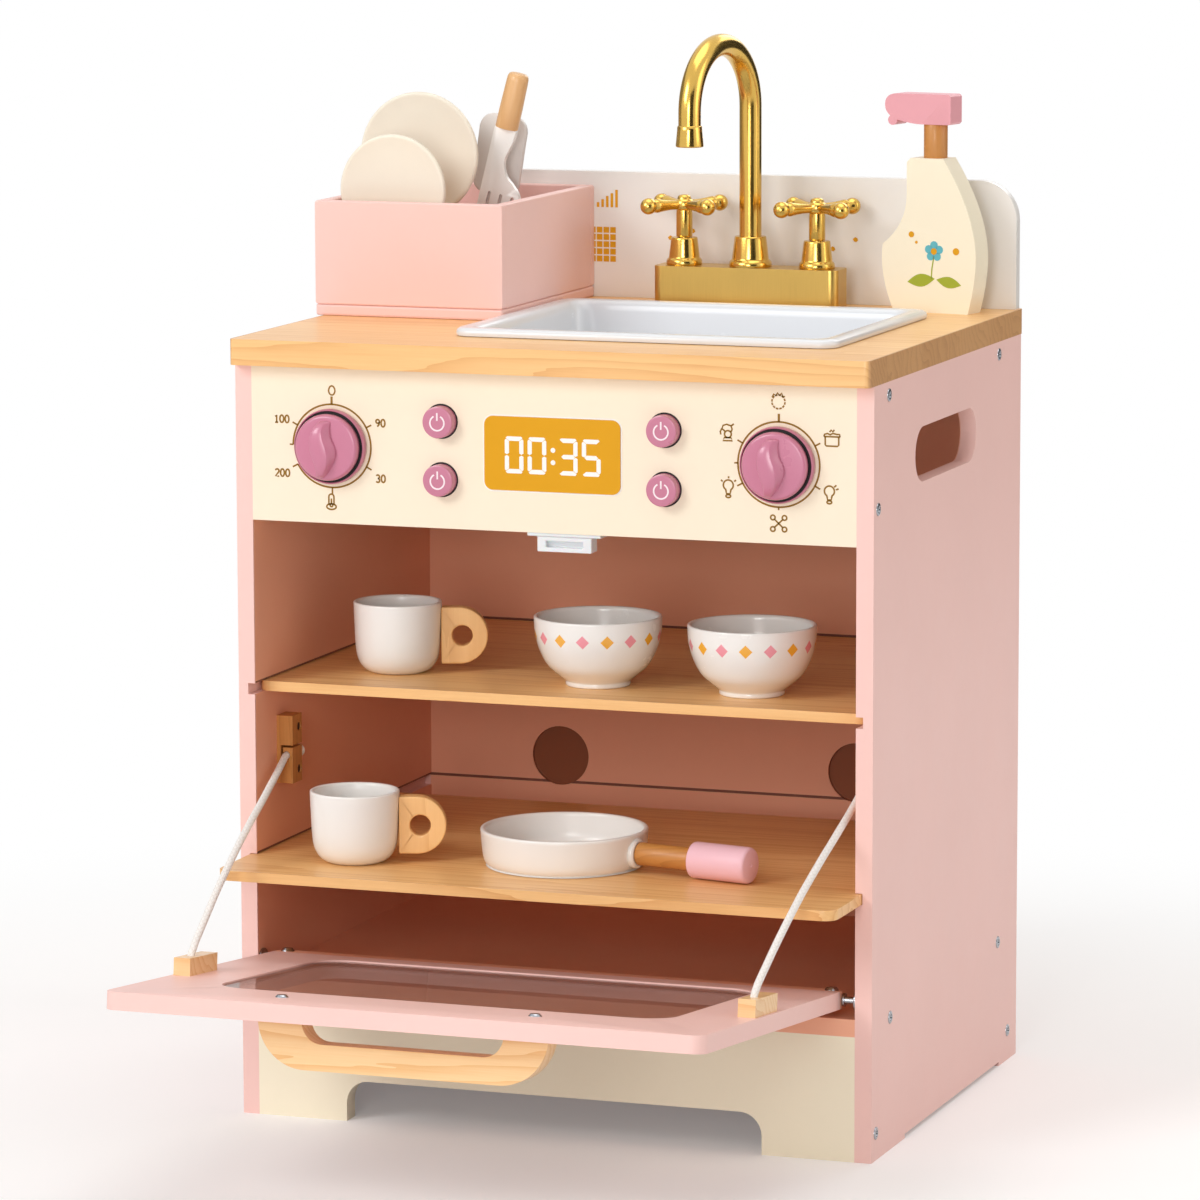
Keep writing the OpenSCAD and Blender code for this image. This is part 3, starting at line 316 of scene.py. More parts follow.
def make_materials():
    shades = bpy.context.scene.kitchen_colours
    make_paint_group()
    make_wood_group()
    make_metal_group()
    upright = (0, math.pi / 2, 0)
    glossy = dict(Coat_Weight=0.35, Coat_Roughness=0.2, Specular_IOR_Level=0.5)
    matt = dict(Coat_Weight=0.0, Coat_Roughness=0.2, Specular_IOR_Level=0.28)
    for name, colour, rough, clouding, shine in (
            # the second material in this row takes the inner pink: painted shade of the oven's inside
            ("pink_paint", shades.pink, 0.42, 0.05, matt), ("inner_paint", shades.inner_shade_pink, 0.5, 0.05, matt),
            ("cream_paint", shades.cream, 0.40, 0.04, matt), ("white_paint", shades.white, 0.36, 0.03, glossy),
            ("mauve_paint", shades.mauve, 0.30, 0.07, glossy), ("rose_paint", shades.rose, 0.38, 0.05, matt),
            ("mustard_print", shades.mustard, 0.45, 0.06, matt), ("plate_paint", shades.plate, 0.42, 0.05, matt),
            ("white_plastic", (0.76, 0.785, 0.82), 0.24, 0.02, glossy),
            ("grip_paint", (0.90, 0.55, 0.62), 0.36, 0.04, matt), ("grey_paint", (0.76, 0.72, 0.69), 0.4, 0.04, matt),
            # the near-black brown on the next line is painted shade of the wall blocks' screw holes
            ("warm_cream", (0.95, 0.87, 0.68), 0.40, 0.04, matt), ("hole_shade_brown", (0.06, 0.024, 0.011), 0.6, 0.1, matt),
            ("white_print", (0.93, 0.92, 0.88), 0.5, 0.02, matt), ("pale_print", (0.93, 0.80, 0.84), 0.45, 0.03, matt),
            ("brown_print", (0.27, 0.135, 0.009), 0.5, 0.05, matt), ("leaf_print", (0.36, 0.42, 0.03), 0.5, 0.06, matt),
            ("blue_print", (0.12, 0.47, 0.55), 0.5, 0.06, matt),
            ("black_plastic", (0.02, 0.018, 0.018), 0.45, 0.05, matt)):
        finish_material(name, "Sprayed paint", {"Colour": colour, "Clouding": clouding, "Roughness": rough},
                        0.05, **shine)
    finish_material("milky_plastic", "Sprayed paint",
                    {"Colour": (0.80, 0.82, 0.84), "Clouding": 0.04, "Roughness": 0.22},
                    0.03, Subsurface_Weight=0.25, Subsurface_Scale=0.004, Coat_Weight=0.2)
    pine, beech = (shades.pine_light, shades.pine_dark), (shades.beech_light, shades.beech_dark)
    pale, stick = ((0.98, 0.68, 0.36), (0.80, 0.43, 0.15)), ((0.80, 0.47, 0.21), (0.60, 0.30, 0.10))
    for name, (light, dark), stave, rings, contrast, bump, turn, coat, coat_rough in (
            ("pine_board", pine, 0.042, 110.0, 0.9, 0.10, (0, 0, 0), 0.25, 0.25),
            ("pine_shelf", pine, 0.047, 85.0, 1.05, 0.10, (0, 0, 0), 0.2, 0.25),
            ("pine_handle", pale, 0.9, 110.0, 1.1, 0.08, (0, 0, 0), 0.4, 0.15),
            ("beech_x", beech, 0.9, 150.0, 0.7, 0.12, (0, 0, 0), 0.1, 0.03),
            ("beech_z", beech, 0.9, 150.0, 0.7, 0.12, upright, 0.1, 0.03),
            ("pine_ear", pine, 0.9, 120.0, 0.6, 0.08, upright, 0.1, 0.03),
            ("stick_wood", stick, 0.9, 30.0, 0.5, 0.05, upright, 0.3, 0.2)):
        finish_material(name, "Wood grain", {
            "Light": light, "Dark": dark, "Stave": stave, "Rings": rings, "Contrast": contrast},
            bump, turn, Coat_Weight=coat, Coat_Roughness=coat_rough)
    for name, colour, rough, streak, bump, turn in (
            ("brass", shades.brass, 0.20, 0.35, 0.02, (0, 0, 0)),
            ("satin_brass", (0.60, 0.385, 0.105), 0.34, 0.6, 0.02, upright),
            ("steel", (0.40, 0.42, 0.45), 0.25, 0.35, 0.03, (0, 0, 0))):
        finish_material(name, "Brushed metal", {"Colour": colour, "Roughness": rough, "Streak": streak},
                        bump, turn, Metallic=1.0)
    make_bowl_glaze("bowl_left", 0.26, shades.white)
    make_bowl_glaze("bowl_right", 0.953, shades.white)
    # painted shade on the oven's inner faces, and painted shadow lines above the shelves
    paint_oven_shade("pink_paint", shades.inner_shade_pink)
    mask_end_grain("pine_board")
    # painted shade in the back panel's two round recesses
    paint_vent_shade("pink_paint")
    make_pane_material()
    make_rope_material()


def make_bowl_glaze(node, start, white):
    """White glaze with a row of printed diamonds, placed by the angle round the bowl"""
    low, _, middle = box(node)
    row, tall, wide, wall = low.z + 0.0357, 0.0094, 1.83, 0.0413      # the prints are on the outer wall alone
    wire, surface, effect, place = finish_material(
        node + "_glaze", "Sprayed paint", {"Colour": white, "Clouding": 0.03, "Roughness": 0.25},
        0.04, Coat_Weight=0.5, Coat_Roughness=0.12)
    x, y, z = wire.split(place)
    x, y, z = x - middle.x, y - middle.y, z - row
    turn = wire.math("MULTIPLY_ADD", y.op("ARCTAN2", x), sizes().diamonds / TAU, start)
    inside = abs(turn.op("FRACT") - 0.5) * wide + abs(z * (1 / tall))
    reach = (x * x + y * y).op("SQRT")
    mask = inside.ramp(0.47, 0.53, 1.0, 0.0) * reach.ramp(wall, wall + 0.0003)
    ink = wire.mix(abs(turn.op("FLOOR").op("MODULO", 2.0)), (0.86, 0.30, 0.36), (0.88, 0.42, 0.03))
    wire.feed(surface.inputs["Base Color"], wire.mix(mask, effect.outputs["Colour"], ink))


def masked_colour(name, find_mask, colour):
    """Feeds a finish's group with two colours, told apart by a mask over Object coordinates"""
    tree = FINISH[name].node_tree
    wire = Wiring(tree)
    place, effect = (next(n for n in tree.nodes if n.type == kind) for kind in ("TEX_COORD", "GROUP"))
    part = wire.split(place.outputs["Object"])
    mask = find_mask(*part)
    for label, value in colour.items():
        socket = effect.inputs[label]
        plain = socket.links[0].from_socket if socket.is_linked else tuple(socket.default_value)
        wire.feed(socket, wire.mix(mask, plain, value(wire, *part) if callable(value) else value))


def paint_oven_shade(name, colour):
    """Painted shade on the oven's inner faces: a deeper tone than the outside, and a painted shadow line above each
    shelf
    """
    rear, wall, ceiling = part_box("back_panel")[1][1], 0.2181, 0.529

    def find(x, y, z):
        deep = y.ramp(FRONT + 0.0004, FRONT + 0.0024) * y.op("LESS_THAN", rear - 0.0002)
        return abs(x).ramp(wall, wall + 0.0009, 1.0, 0.0) * deep * z.ramp(ceiling, ceiling + 0.001, 1.0, 0.0)

    def tone(wire, x, y, z):
        # painted shadow: a near-black band just above each shelf, in its groove
        upper, lower = (z.op("COMPARE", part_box(shelf)[1][2] + 0.0006, 0.0010)
                        for shelf in ("upper_shelf", "lower_shelf"))
        return wire.mix(upper.op("MAXIMUM", lower) * 0.85, colour, (0.10, 0.03, 0.02))
    masked_colour(name, find, {"Colour": tone})


def mask_end_grain(name):
    """The worktop's sawn ends drink more lacquer and are darker"""
    masked_colour(name, lambda x, y, z: abs(x).ramp(0.2280, 0.2296),
                  {"Light": (0.64, 0.34, 0.13), "Dark": (0.44, 0.20, 0.06)})


def paint_vent_shade(name):
    """Painted shade: the two round recesses in the back panel are coloured dark brown"""
    vent_x, vent_z, vent_r, face = 0.115, 0.205, 0.0220, FRONT + 0.3350

    def find(x, y, z):
        across, up = abs(x) - vent_x, z - vent_z
        reach = (across * across + up * up).op("SQRT")
        deep = y.ramp(face - 0.0002, face + 0.0004) * y.ramp(face + 0.0035, face + 0.0040, 1.0, 0.0)
        return deep * reach.ramp(vent_r + 0.0002, vent_r + 0.0006, 1.0, 0.0)
    masked_colour(name, find, {"Colour": (0.30, 0.10, 0.045)})


def make_pane_material():
    """Smoky clear sheet with faint smears; its reddish-brown colour and its lighter and darker patches are partly
    painted reflection of the oven's shaded pink inside
    """
    wire, surface = new_material("smoky_pane")
    smear_and_reflection = wire.noise(wire.get("ShaderNodeTexCoord", output="Object"), 14.0, 4.0, 0.6)
    # partly painted reflection: the two browns stand for the oven's shaded inside mirrored in the pane
    for key, value in {"Base Color": wire.mix(smear_and_reflection.ramp(0.3, 0.7), (0.36, 0.17, 0.125), (0.44, 0.23, 0.175)),
                       "Roughness": smear_and_reflection.ramp(0.3, 0.75, 0.03, 0.10), "Alpha": smear_and_reflection.ramp(0.2, 0.8, 0.52, 0.56),
                       "IOR": 1.49}.items():
        wire.feed(surface.inputs[key], value)


def make_rope_material():
    """White braid: two sets of strands that cross, from the rope's own UV map, with painted shade in the grooves
    between strands
    """
    wire, surface = new_material("braided_rope")
    place = wire.add("ShaderNodeTexCoord").outputs
    u, v, _ = wire.split(place["UV"])
    left, right = u + v, u - v
    rows = [abs(way.op("FRACT") - 0.5) for way in (left, right)]
    cell = abs(left.op("FLOOR") + right.op("FLOOR")).op("MODULO", 2.0)
    bulge = 1.0 - wire.mix(cell, *rows) * 1.9
    fluff = wire.noise(place["Object"], 900.0, 3.0, 0.6)
    # painted shade: the colour darkens from each strand's crown into the grooves beside it
    for key, value in {"Base Color": wire.mix(bulge.ramp(0.0, 0.55), (0.80, 0.75, 0.70), (0.92, 0.89, 0.86)),
                       "Roughness": fluff.ramp(0.2, 0.8, 0.75, 0.92), "Sheen Weight": 0.2}.items():
        wire.feed(surface.inputs[key], value)
    add_relief(wire, surface, bulge + fluff * 0.5, 0.4)


# ---------------------------------------------------------------- shaping helpers
# Profiles and outlines are in millimetres, and everything else is in metres.

def new_object(name, data):
    thing = bpy.data.objects.new(name, data)
    bpy.context.scene.collection.objects.link(thing)
    return thing


def add_piece(name, mesh, body, finish, replaces=()):
    """Links a finished mesh, rides it on its body and hides the CAD parts that it replaces"""
    piece = new_object(name, mesh)
    mesh.materials.clear()
    mesh.materials.append(FINISH[finish])
    if body:
        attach(piece, body)
    if replaces:
        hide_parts(*replaces)
    return piece


def to_mesh(bm, name, sharp):
    """Ends a bmesh as a welded, smooth mesh with edges sharper than an angle in degrees kept sharp"""
    bmesh.ops.remove_doubles(bm, verts=bm.verts, dist=1e-6)
    bmesh.ops.recalc_face_normals(bm, faces=bm.faces)
    mesh = bpy.data.meshes.new(name)
    bm.to_mesh(mesh)
    bm.free()
    mesh.shade_smooth()
    mesh.set_sharp_from_angle(angle=math.radians(sharp))
    return mesh


def add_solid(name, bm, body, finish, replaces=(), sharp=35):
    return add_piece(name, to_mesh(bm, name, sharp), body, finish, replaces)


def lathe(bm, profile, centre, steps, axis=Matrix()):
    """Turns a list of (radius, height) about the axis through centre"""
    rings = []
    for radius, height in profile:
        turns = range(steps if radius else 1)
        rings.append([bm.verts.new(centre + axis @ (Vector((
            radius * math.cos(TAU * k / steps), radius * math.sin(TAU * k / steps), height)) / 1000)) for k in turns])
    for low, high in zip(rings, rings[1:]):
        for k in range(steps):
            n = (k + 1) % steps
            if len(low) == 1 and len(high) > 1:
                bm.faces.new((low[0], high[k], high[n]))
            elif len(high) == 1 and len(low) > 1:
                bm.faces.new((low[k], low[n], high[0]))
            elif len(low) > 1:
                bm.faces.new((low[k], low[n], high[n], high[k]))


def turn_piece(name, profile, at, steps, axis, body, finish, slot, replaces=(), sharp=35):
    """A piece made of one turned profile"""
    bm = bmesh.new()
    lathe(bm, profile, at, steps, axis)
    add_solid(name, bm, body, finish, replaces, sharp)


def skin(bm, rows, closed=True):
    """Skins rows of vertices, one face between each two neighbours; closed joins the rows' ends"""
    for low, high in zip(rows, rows[1:]):
        for k in range(len(low) if closed else len(low) - 1):
            n = (k + 1) % len(low)
            bm.faces.new((low[k], low[n], high[n], high[k]))


def loft(bm, loops):
    """A closed skin over loops of equal length, each a list of points"""
    rows = [[bm.verts.new(p) for p in loop] for loop in loops]
    skin(bm, rows)
    return rows, bm.faces.new(rows[0][::-1]), bm.faces.new(rows[-1])


def slab(bm, outline, thick, place, edge=0.0, segments=3):
    """A board from a closed 2-D outline, its own X and Y taken to the world by place"""
    _, base, top = loft(bm, [[place @ (Vector((x, y, z)) / 1000) for x, y in outline] for z in (0, thick)])
    if edge:
        bmesh.ops.bevel(bm, geom=list(base.edges) + list(top.edges), offset=edge / 1000, segments=segments,
                        profile=0.5, affect="EDGES", clamp_overlap=True)


def facing_front(x, y, z):
    """Places a drawing on a plane that faces the front"""
    return Matrix.Translation(mm(x, y, z)) @ UPRIGHT


def tube(bm, points, radii, sides):
    """A round tube along points, with a radius for each of them"""
    rings = []
    normal = None
    for i, here in enumerate(points):
        ahead = (points[min(i + 1, len(points) - 1)] - points[max(i - 1, 0)]).normalized()
        if normal is None:
            normal = ahead.orthogonal().normalized()
        normal = (normal - ahead * normal.dot(ahead)).normalized()
        side = ahead.cross(normal)
        rings.append([here + radii[i] * (math.cos(TAU * k / sides) * normal + math.sin(TAU * k / sides) * side)
                      for k in range(sides)])
    return loft(bm, rings)[0]


def smooth_curve(points, steps):
    """Catmull-Rom points through given ones"""
    out = []
    last = len(points) - 1
    for i in range(last):
        a, b, c, d = (Vector(points[min(max(k, 0), last)]) for k in range(i - 1, i + 3))
        for k in range(steps):
            t = k / steps
            out.append(tuple(0.5 * (2 * b + (c - a) * t + (2 * a - 5 * b + 4 * c - d) * t * t
                                    + (3 * b - a - 3 * c + d) * t ** 3)))
    return out + [tuple(points[-1])]


def arc(cx, cy, radius, start, end, steps=24, squash=1.0):
    angles = [math.radians(start + (end - start) * k / steps) for k in range(steps + 1)]
    return [(cx + radius * math.cos(a), cy + squash * radius * math.sin(a)) for a in angles]


def round_rect(half_w, half_l, radius, steps):
    """Corner-rounded rectangle about the origin, as a closed list of points"""
    return [point for cx, cy, start in ((1, 1, 0), (-1, 1, 90), (-1, -1, 180), (1, -1, 270))
            for point in arc(cx * (half_w - radius), cy * (half_l - radius), radius, start, start + 90, steps)]


def dress_boards(*rows):
    """Keeps CAD boards: welds them, rounds their edges and gives them a finish"""
    weld_distance, rounded_from = 0.00001, math.radians(38)
    for finish, edge, segments, *nodes in rows:
        for node in nodes:
            board = NODES[node]
            board.data.materials.clear()
            board.data.materials.append(FINISH[finish])
            board.modifiers.new("Weld", "WELD").merge_threshold = weld_distance
            if edge:
                bevel = board.modifiers.new("Edges", "BEVEL")
                bevel.width, bevel.segments = edge, segments
                bevel.limit_method, bevel.angle_limit = "ANGLE", rounded_from
                bevel.use_clamp_overlap = True


# ---------------------------------------------------------------- printed marks

def stroke(bm, points, width, place, closed=False):
    """A printed line of even width along 2-D points"""
    points = [Vector(p) / 1000 for p in points]
    count = len(points)
    rows = []
    for i, here in enumerate(points):
        before = points[i - 1] if i or closed else here
        after = points[(i + 1) % count] if i < count - 1 or closed else here
        way = (after - before).normalized()
        side = Vector((-way.y, way.x)) * width / 2000
        rows.append([bm.verts.new(place @ Vector((*(here + side * s), z))) for s, z in (
            (1, 0), (1, sizes().print_height), (-1, sizes().print_height), (-1, 0))])
    skin(bm, rows + rows[:1] if closed else rows)
    if not closed:
        bm.faces.new(rows[0][::-1])
        bm.faces.new(rows[-1])


def patch(bm, outline, place, layers=1.0):
    """A printed area: a thin plate in the shape of the outline"""
    slab(bm, outline, sizes().print_height * 1000 * layers, place)


def print_piece(name, bm, body, finish):
    bmesh.ops.recalc_face_normals(bm, faces=bm.faces)
    mesh = bpy.data.meshes.new(name)
    bm.to_mesh(mesh)
    bm.free()
    add_piece(name, mesh, body, finish)


# Strokes of the digits, in a cell one unit high and 0.6 wide
DIGITS = {
    "0": [arc(0.3, 0.5, 0.26, 90, 450, 28, 1.8)],
    "1": [[(0.12, 0.78), (0.32, 0.97), (0.32, 0.03)], [(0.12, 0.03), (0.52, 0.03)]],
    "2": [arc(0.3, 0.71, 0.24, 165, -35, 16) + [(0.06, 0.03), (0.56, 0.03)]],
    "3": [arc(0.28, 0.735, 0.225, 150, -90, 14) + arc(0.28, 0.27, 0.245, 90, -150, 16)],
    "9": [arc(0.3, 0.70, 0.235, -10, 350, 24) + [(0.53, 0.66), (0.47, 0.30), (0.26, 0.03)]],
}
SEGMENTS = {"0": "abcdef", "3": "abgcd", "5": "afgcd"}


def write_digits(bm, text, x, y, height, width, place):
    """Draws digits centred on x, y"""
    step = height * 0.72
    start = x - (len(text) * step - height * 0.12) / 2
    for i, sign in enumerate(text):
        for line in DIGITS[sign]:
            stroke(bm, [(start + i * step + px * height, y - height / 2 + py * height) for px, py in line],
                   width, place)


def segment_outline(key, w, h, t, gap):
    """One bar of a seven-segment digit, mitred at its ends"""
    half = t / 2
    if key in "adg":
        y = {"a": h - half, "d": half, "g": h / 2}[key]
        x0, x1 = gap + half, w - gap - half
        if key == "g":
            return [(x0, y), (x0 + half, y + half), (x1 - half, y + half), (x1, y),
                    (x1 - half, y - half), (x0 + half, y - half)]
        s = half if key == "a" else -half
        return [(x0 - half * 0.75, y + s * 0.3), (x0 - half * 0.1, y + s), (x1 + half * 0.1, y + s),
                (x1 + half * 0.75, y + s * 0.3), (x1 - half * 0.8, y - s), (x0 + half * 0.8, y - s)]
    x, s = (half, half) if key in "ef" else (w - half, -half)
    upper = key in "fb"
    y0, y1 = (h / 2 + gap, h - gap - t * 0.55) if upper else (h / 2 - gap, gap + t * 0.55)
    up = t if upper else -t
    return [(x - s, y0 + up * 0.25), (x, y0), (x + s, y0 + up * 0.3),
            (x + s, y1 - up * 0.45), (x - s * 0.35, y1 + up * 0.1), (x - s, y1 - up * 0.2)]


# ---------------------------------------------------------------- operators

class Step:
    """Runs one step of the build"""

    def execute(self, context):
        self.build()
        return {"FINISHED"}


class KITCHEN_OT_materials(Step, bpy.types.Operator):
    """Build the node groups and every finish"""
    bl_idname = "kitchen.materials"
    bl_label = "Finishes"

    def build(self):
        make_materials()


class KITCHEN_OT_boards(Step, bpy.types.Operator):
    """Paint the cabinet's boards and round their edges"""
    bl_idname = "kitchen.boards"
    bl_label = "Boards"

    def build(self):
        edge, wood = sizes().board_edge, sizes().wood_edge
        dress_boards(
            ("pink_paint", edge, 2, "left_side_panel", "right_side_panel", "rear_plinth", "box_base", "box_boards"),
            # the oven's floor takes the inner pink: painted shade
            ("pink_paint", edge / 2, 2, "back_panel"), ("inner_paint", edge / 2, 2, "floor_panel"),
            ("warm_cream", edge, 2, "front_plinth"), ("cream_paint", edge / 2, 2, "control_panel"),
            ("white_paint", edge, 2, "splash_board"), ("pine_board", wood, 3, "worktop"),
            ("pine_board", edge / 2, 2, "top_rails"), ("pine_shelf", edge, 2, "upper_shelf", "lower_shelf"),
            ("beech_x", edge / 2, 2, "dish_rack"), ("beech_z", 0.0008, 2, "wall_rope_blocks"),
            ("mustard_print", 0.0003, 2, "display_plate"), ("black_plastic", 0, 0, "button_guides"),
            ("steel", 0.0003, 2, "hinge_bushes", "door_hinge_pins"), ("milky_plastic", 0.0007, 2, "door_catch"))


class KITCHEN_OT_door(Step, bpy.types.Operator):
    """Finish the door: panel, pane, handle, screws and rope blocks"""
    bl_idname = "kitchen.door"
    bl_label = "Door"

    def build(self):
        dress_boards(
            ("pink_paint", sizes().board_edge, 3, "door_panel"), ("smoky_pane", 0, 0, "door_window"),
            ("pine_handle", 0.0042, 4, "door_handle"), ("pine_handle", 0.0009, 3, "door_rope_blocks"),
            ("steel", 0.0003, 2, "door_handle_screws"))


class KITCHEN_OT_sink(Step, bpy.types.Operator):
    """Shape the drop-in sink as one moulded shell"""
    bl_idname = "kitchen.sink"
    bl_label = "Sink"

    def build(self):
        low, high, middle = box("sink_basin")
        half = (high - low) * 500
        top, board, floor = high.z * 1000, WORKTOP * 1000, low.z * 1000 + 2
        # (inset from the rim's edge, height, corner radius): the basin's underside, round the rim, then its inside
        path = [(90, floor - 2, 10), (40, floor - 2, 14), (28, floor - 1.4, 18), (21.2, floor + 1, 20),
                (17.2, floor + 6, 18), (15.2, floor + 15, 16), (12.8, top - 8, 13), (12.4, board + 0.1, 12),
                (3.5, board + 0.1, 12), (0.8, board + 0.4, 13), (0, board + 2.2, 14), (0.6, top - 1.6, 13.8),
                (2.4, top - 0.3, 12.5), (5, top, 12), (10.5, top - 0.2, 11), (12.5, top - 1.2, 11),
                (14, top - 3.6, 12), (15, top - 8, 14), (17.2, floor + 15, 18), (19.2, floor + 7, 20),
                (23.5, floor + 2.6, 20), (30, floor + 0.6, 18), (40, floor, 16), (90, floor, 10)]
        bm = bmesh.new()
        loft(bm, [[Vector((middle.x + x / 1000, middle.y + y / 1000, z / 1000))
                   for x, y in round_rect(half.x - inset, half.y - inset, radius, 12)] for inset, z, radius in path])
        add_solid("sink_shell", bm, "cabinet", "white_plastic", ("sink_basin",), 50)


class KITCHEN_OT_tap(Step, bpy.types.Operator):
    """Turn the tap: base, sleeves, spout and the two cross handles"""
    bl_idname = "kitchen.tap"
    bl_label = "Tap"

    def build(self):
        dress_boards(("satin_brass", 0.0012, 4, "tap_base"))
        _, high, middle = box("tap_base")
        axis = Vector((middle.x, middle.y, high.z))
        reach = Vector((0.0503, 0, 0))      # from the spout's axis to a handle's
        bm = bmesh.new()
        self.sleeve(bm, axis - reach, 13, 20, 4.1)
        self.sleeve(bm, axis + reach, 13, 20, 4.1)
        self.sleeve(bm, axis, 15.5, 22, 8.1)
        add_solid("tap_sleeves", bm, "cabinet", "brass", ("tap_bonnets",), 40)
        self.make_spout(axis)
        self.make_handle("tap_handle_left", axis - reach)
        self.make_handle("tap_handle_right", axis + reach)

    def sleeve(self, bm, at, r, height, stem):
        """The sleeve at the foot of the spout or a handle, with its bore"""
        lathe(bm, [(stem, 0.1), (r * 0.985, 0.1), (r, 0.6), (r, 2.2), (r * 0.985, 3.4), (r * 0.94, 4.4),
                   (r * 0.875, 5.2), (r * 0.86, 5.8), (r * 0.855, 6.6), (r * 0.745, height - 1.4),
                   (r * 0.73, height - 0.4), (r * 0.70, height), (stem, height), (stem, 0.1)], at, 72)

    def make_spout(self, axis):
        turn = Matrix.Rotation(math.radians(-9.5), 4, "Z")
        rise, bend, drop, r = 0.1155, 0.046, 0.0205, 0.008
        neck = rise - drop
        line = [(0, z, r) for z in (0.0005, 0.03, 0.06, 0.09, 0.105)]
        line += [(y, z, r) for y, z in arc(-bend, rise, bend, 0, 180, 48)]
        line += [(-2 * bend, rise - 0.004, r), (-2 * bend, neck + 0.012, r), (-2 * bend, neck + 0.0118, r - 0.002),
                 (-2 * bend, neck + 0.004, r - 0.002)]
        line.insert(0, (0, -0.014, r - 0.0015))
        bm = bmesh.new()
        tube(bm, [axis + turn @ Vector((0, y, z)) for y, z, _ in line], [radius for *_, radius in line], 48)
        add_solid("spout_pipe", bm, "spout", "brass", ("spout_tube",), 60)
        outlet = [(0, 5.2), (7.3, 5), (7.4, 0.6), (7.8, 0), (9.2, 0), (9.8, 0.4), (9.9, 1.2), (8.9, 12), (8.8, 14.4),
                  (8.2, 15), (6.1, 15)]
        turn_piece("spout_outlet", outlet, axis + turn @ Vector((0, -2 * bend, neck - 0.003)), 64, Matrix(),
                   "spout", "brass", "gold", ("spout_tip",), 45)

    def make_handle(self, name, at):
        bm = bmesh.new()
        lathe(bm, [(0, -10), (3.8, -10), (3.8, 20.2), (5.7, 20.4), (5.9, 21), (5.9, 37.2), (5.6, 39.6), (6.6, 40.4),
                   (7.2, 41.4), (7.2, 45.7), (6.4, 46.9), (5.2, 47.5), (5, 48.3), (4.6, 49.4), (3.6, 50.3), (2, 50.8),
                   (0, 51)], at, 56)
        arm_height = 0.0435
        ball = [(6 * math.sin(math.radians(a)), 30.5 - 6 * math.cos(math.radians(a))) for a in range(48, 169, 12)]
        arm = [(0, 3), (3.4, 3), (3.4, 8), (3.6, 13), (4.2, 18), (4.9, 22.2), (5.1, 24), (4.6, 25.6), *ball, (0, 36.5)]
        for quarter in range(4):
            way = Matrix.Rotation(math.radians(51.5 + 90 * quarter), 4, "Z") @ SIDEWAYS
            lathe(bm, arm, at + Vector((0, 0, arm_height)), 40, way)
        add_solid(name + "_cross", bm, name, "brass", (name,), 40)


class KITCHEN_OT_dials(Step, bpy.types.Operator):
    """Shape both dials with their wavy grip, and the push buttons with their marks"""
    bl_idname = "kitchen.dials"
    bl_label = "Dials and buttons"

    def build(self):
        for name in ("dial_left", "dial_right"):
            self.make_dial(name, box(name)[2])
        for name in ("button_upper_left", "button_lower_left", "button_upper_right", "button_lower_right"):
            self.make_button(name, box(name)[2])

    def make_dial(self, name, middle):
        at = Vector((middle.x, FRONT, middle.z))
        turned = (at, 96, UPRIGHT, name)
        turn_piece(name + "_skirt", [
            (0, -19), (3.8, -19), (3.8, 0.4), (25, 0.4), (25.7, 0.9), (26, 2), (25.9, 5), (25.6, 6.2), (25.2, 6.6),
            (24.8, 6.3), (24.6, 5.6), (24.6, 3.4), (0, 3.4)], *turned, "mauve_paint", "mauve")
        # painted shade: a black disc at the foot of the gap between the skirt and the cap
        turn_piece(name + "_groove", [(0, 3.4), (24.5, 3.4), (24.5, 4.6), (0, 4.6)],
                   *turned, "black_plastic", "black_plastic")
        turn_piece(name + "_cap", [
            (0, 4.6), (22.2, 4.6), (22.5, 6.2), (22.9, 7.6), (23, 9.2), (22.8, 10.6), (22.1, 11.7), (21.3, 12.2),
            (20.4, 12.4), (0, 12.4)], *turned, "mauve_paint", "mauve", (name,))
        # The blade across the cap: (height on the cap, left edge, right edge, foot of the slope, rise)
        knots = [(18.6, -3.2, -0.4, 2.6, 0.9), (17.6, -4.4, 0.1, 3.9, 2.8), (13.0, -7.6, -0.6, 3.5, 5.2),
                 (7.0, -9.7, 0.1, 4.3, 6.1), (1.0, -9.5, 2.3, 7.2, 6.2), (-5.0, -8.2, 3.4, 7.8, 6.1),
                 (-12.0, -5.9, 2.7, 5.0, 5.5), (-17.0, -5.6, 0.4, 2.0, 4.0), (-20.0, -6.2, -1.7, -0.7, 1.8),
                 (-20.8, -5.6, -2.4, -1.6, 0.3)]
        loops = []
        for v, left, right, foot, rise in smooth_curve(knots, 5):
            low, ledge, top = 12.3, 12.4 + rise * 0.36, 12.4 + rise * 1.14
            loop = [(foot + 0.25, low - 0.3), (foot + 0.1, ledge - 0.5), (foot - 0.25, ledge),
                    (right + (foot - right) * 0.45, (ledge + top) / 2), (right + 0.35, top - 0.35),
                    (right - 0.25, top), (left + 0.9, top - 0.1), (left + 0.3, top - 0.5), (left, top - 1.2),
                    (left - 0.4, low - 0.3)]
            loops.append([at + UPRIGHT @ (Vector((u, v, depth)) / 1000) for u, depth in loop])
        bm = bmesh.new()
        loft(bm, loops)
        add_solid(name + "_grip", bm, name, "mauve_paint", sharp=70)

    def make_button(self, name, middle):
        turn_piece(name + "_cap", [
            (0, -25.4), (4.2, -25.4), (4.2, -23.8), (2.9, -23.8), (2.9, -7.1), (10.7, -6.9), (10.9, -6), (10.9, 7.2),
            (10.7, 7.9), (10.2, 8.2), (9.6, 8.3), (0, 8.3)], Vector((middle.x, FRONT, middle.z)), 72, UPRIGHT,
            name, "mauve_paint", "mauve", (name,))
        place = facing_front(middle.x * 1000, -8.25, middle.z * 1000)
        bm = bmesh.new()
        stroke(bm, arc(0, -0.4, 5.1, 118, 422, 40), 1.1, place)
        stroke(bm, [(0, 6.6), (0, 1.2)], 1.1, place)
        print_piece(name + "_mark", bm, name, "pale_print")


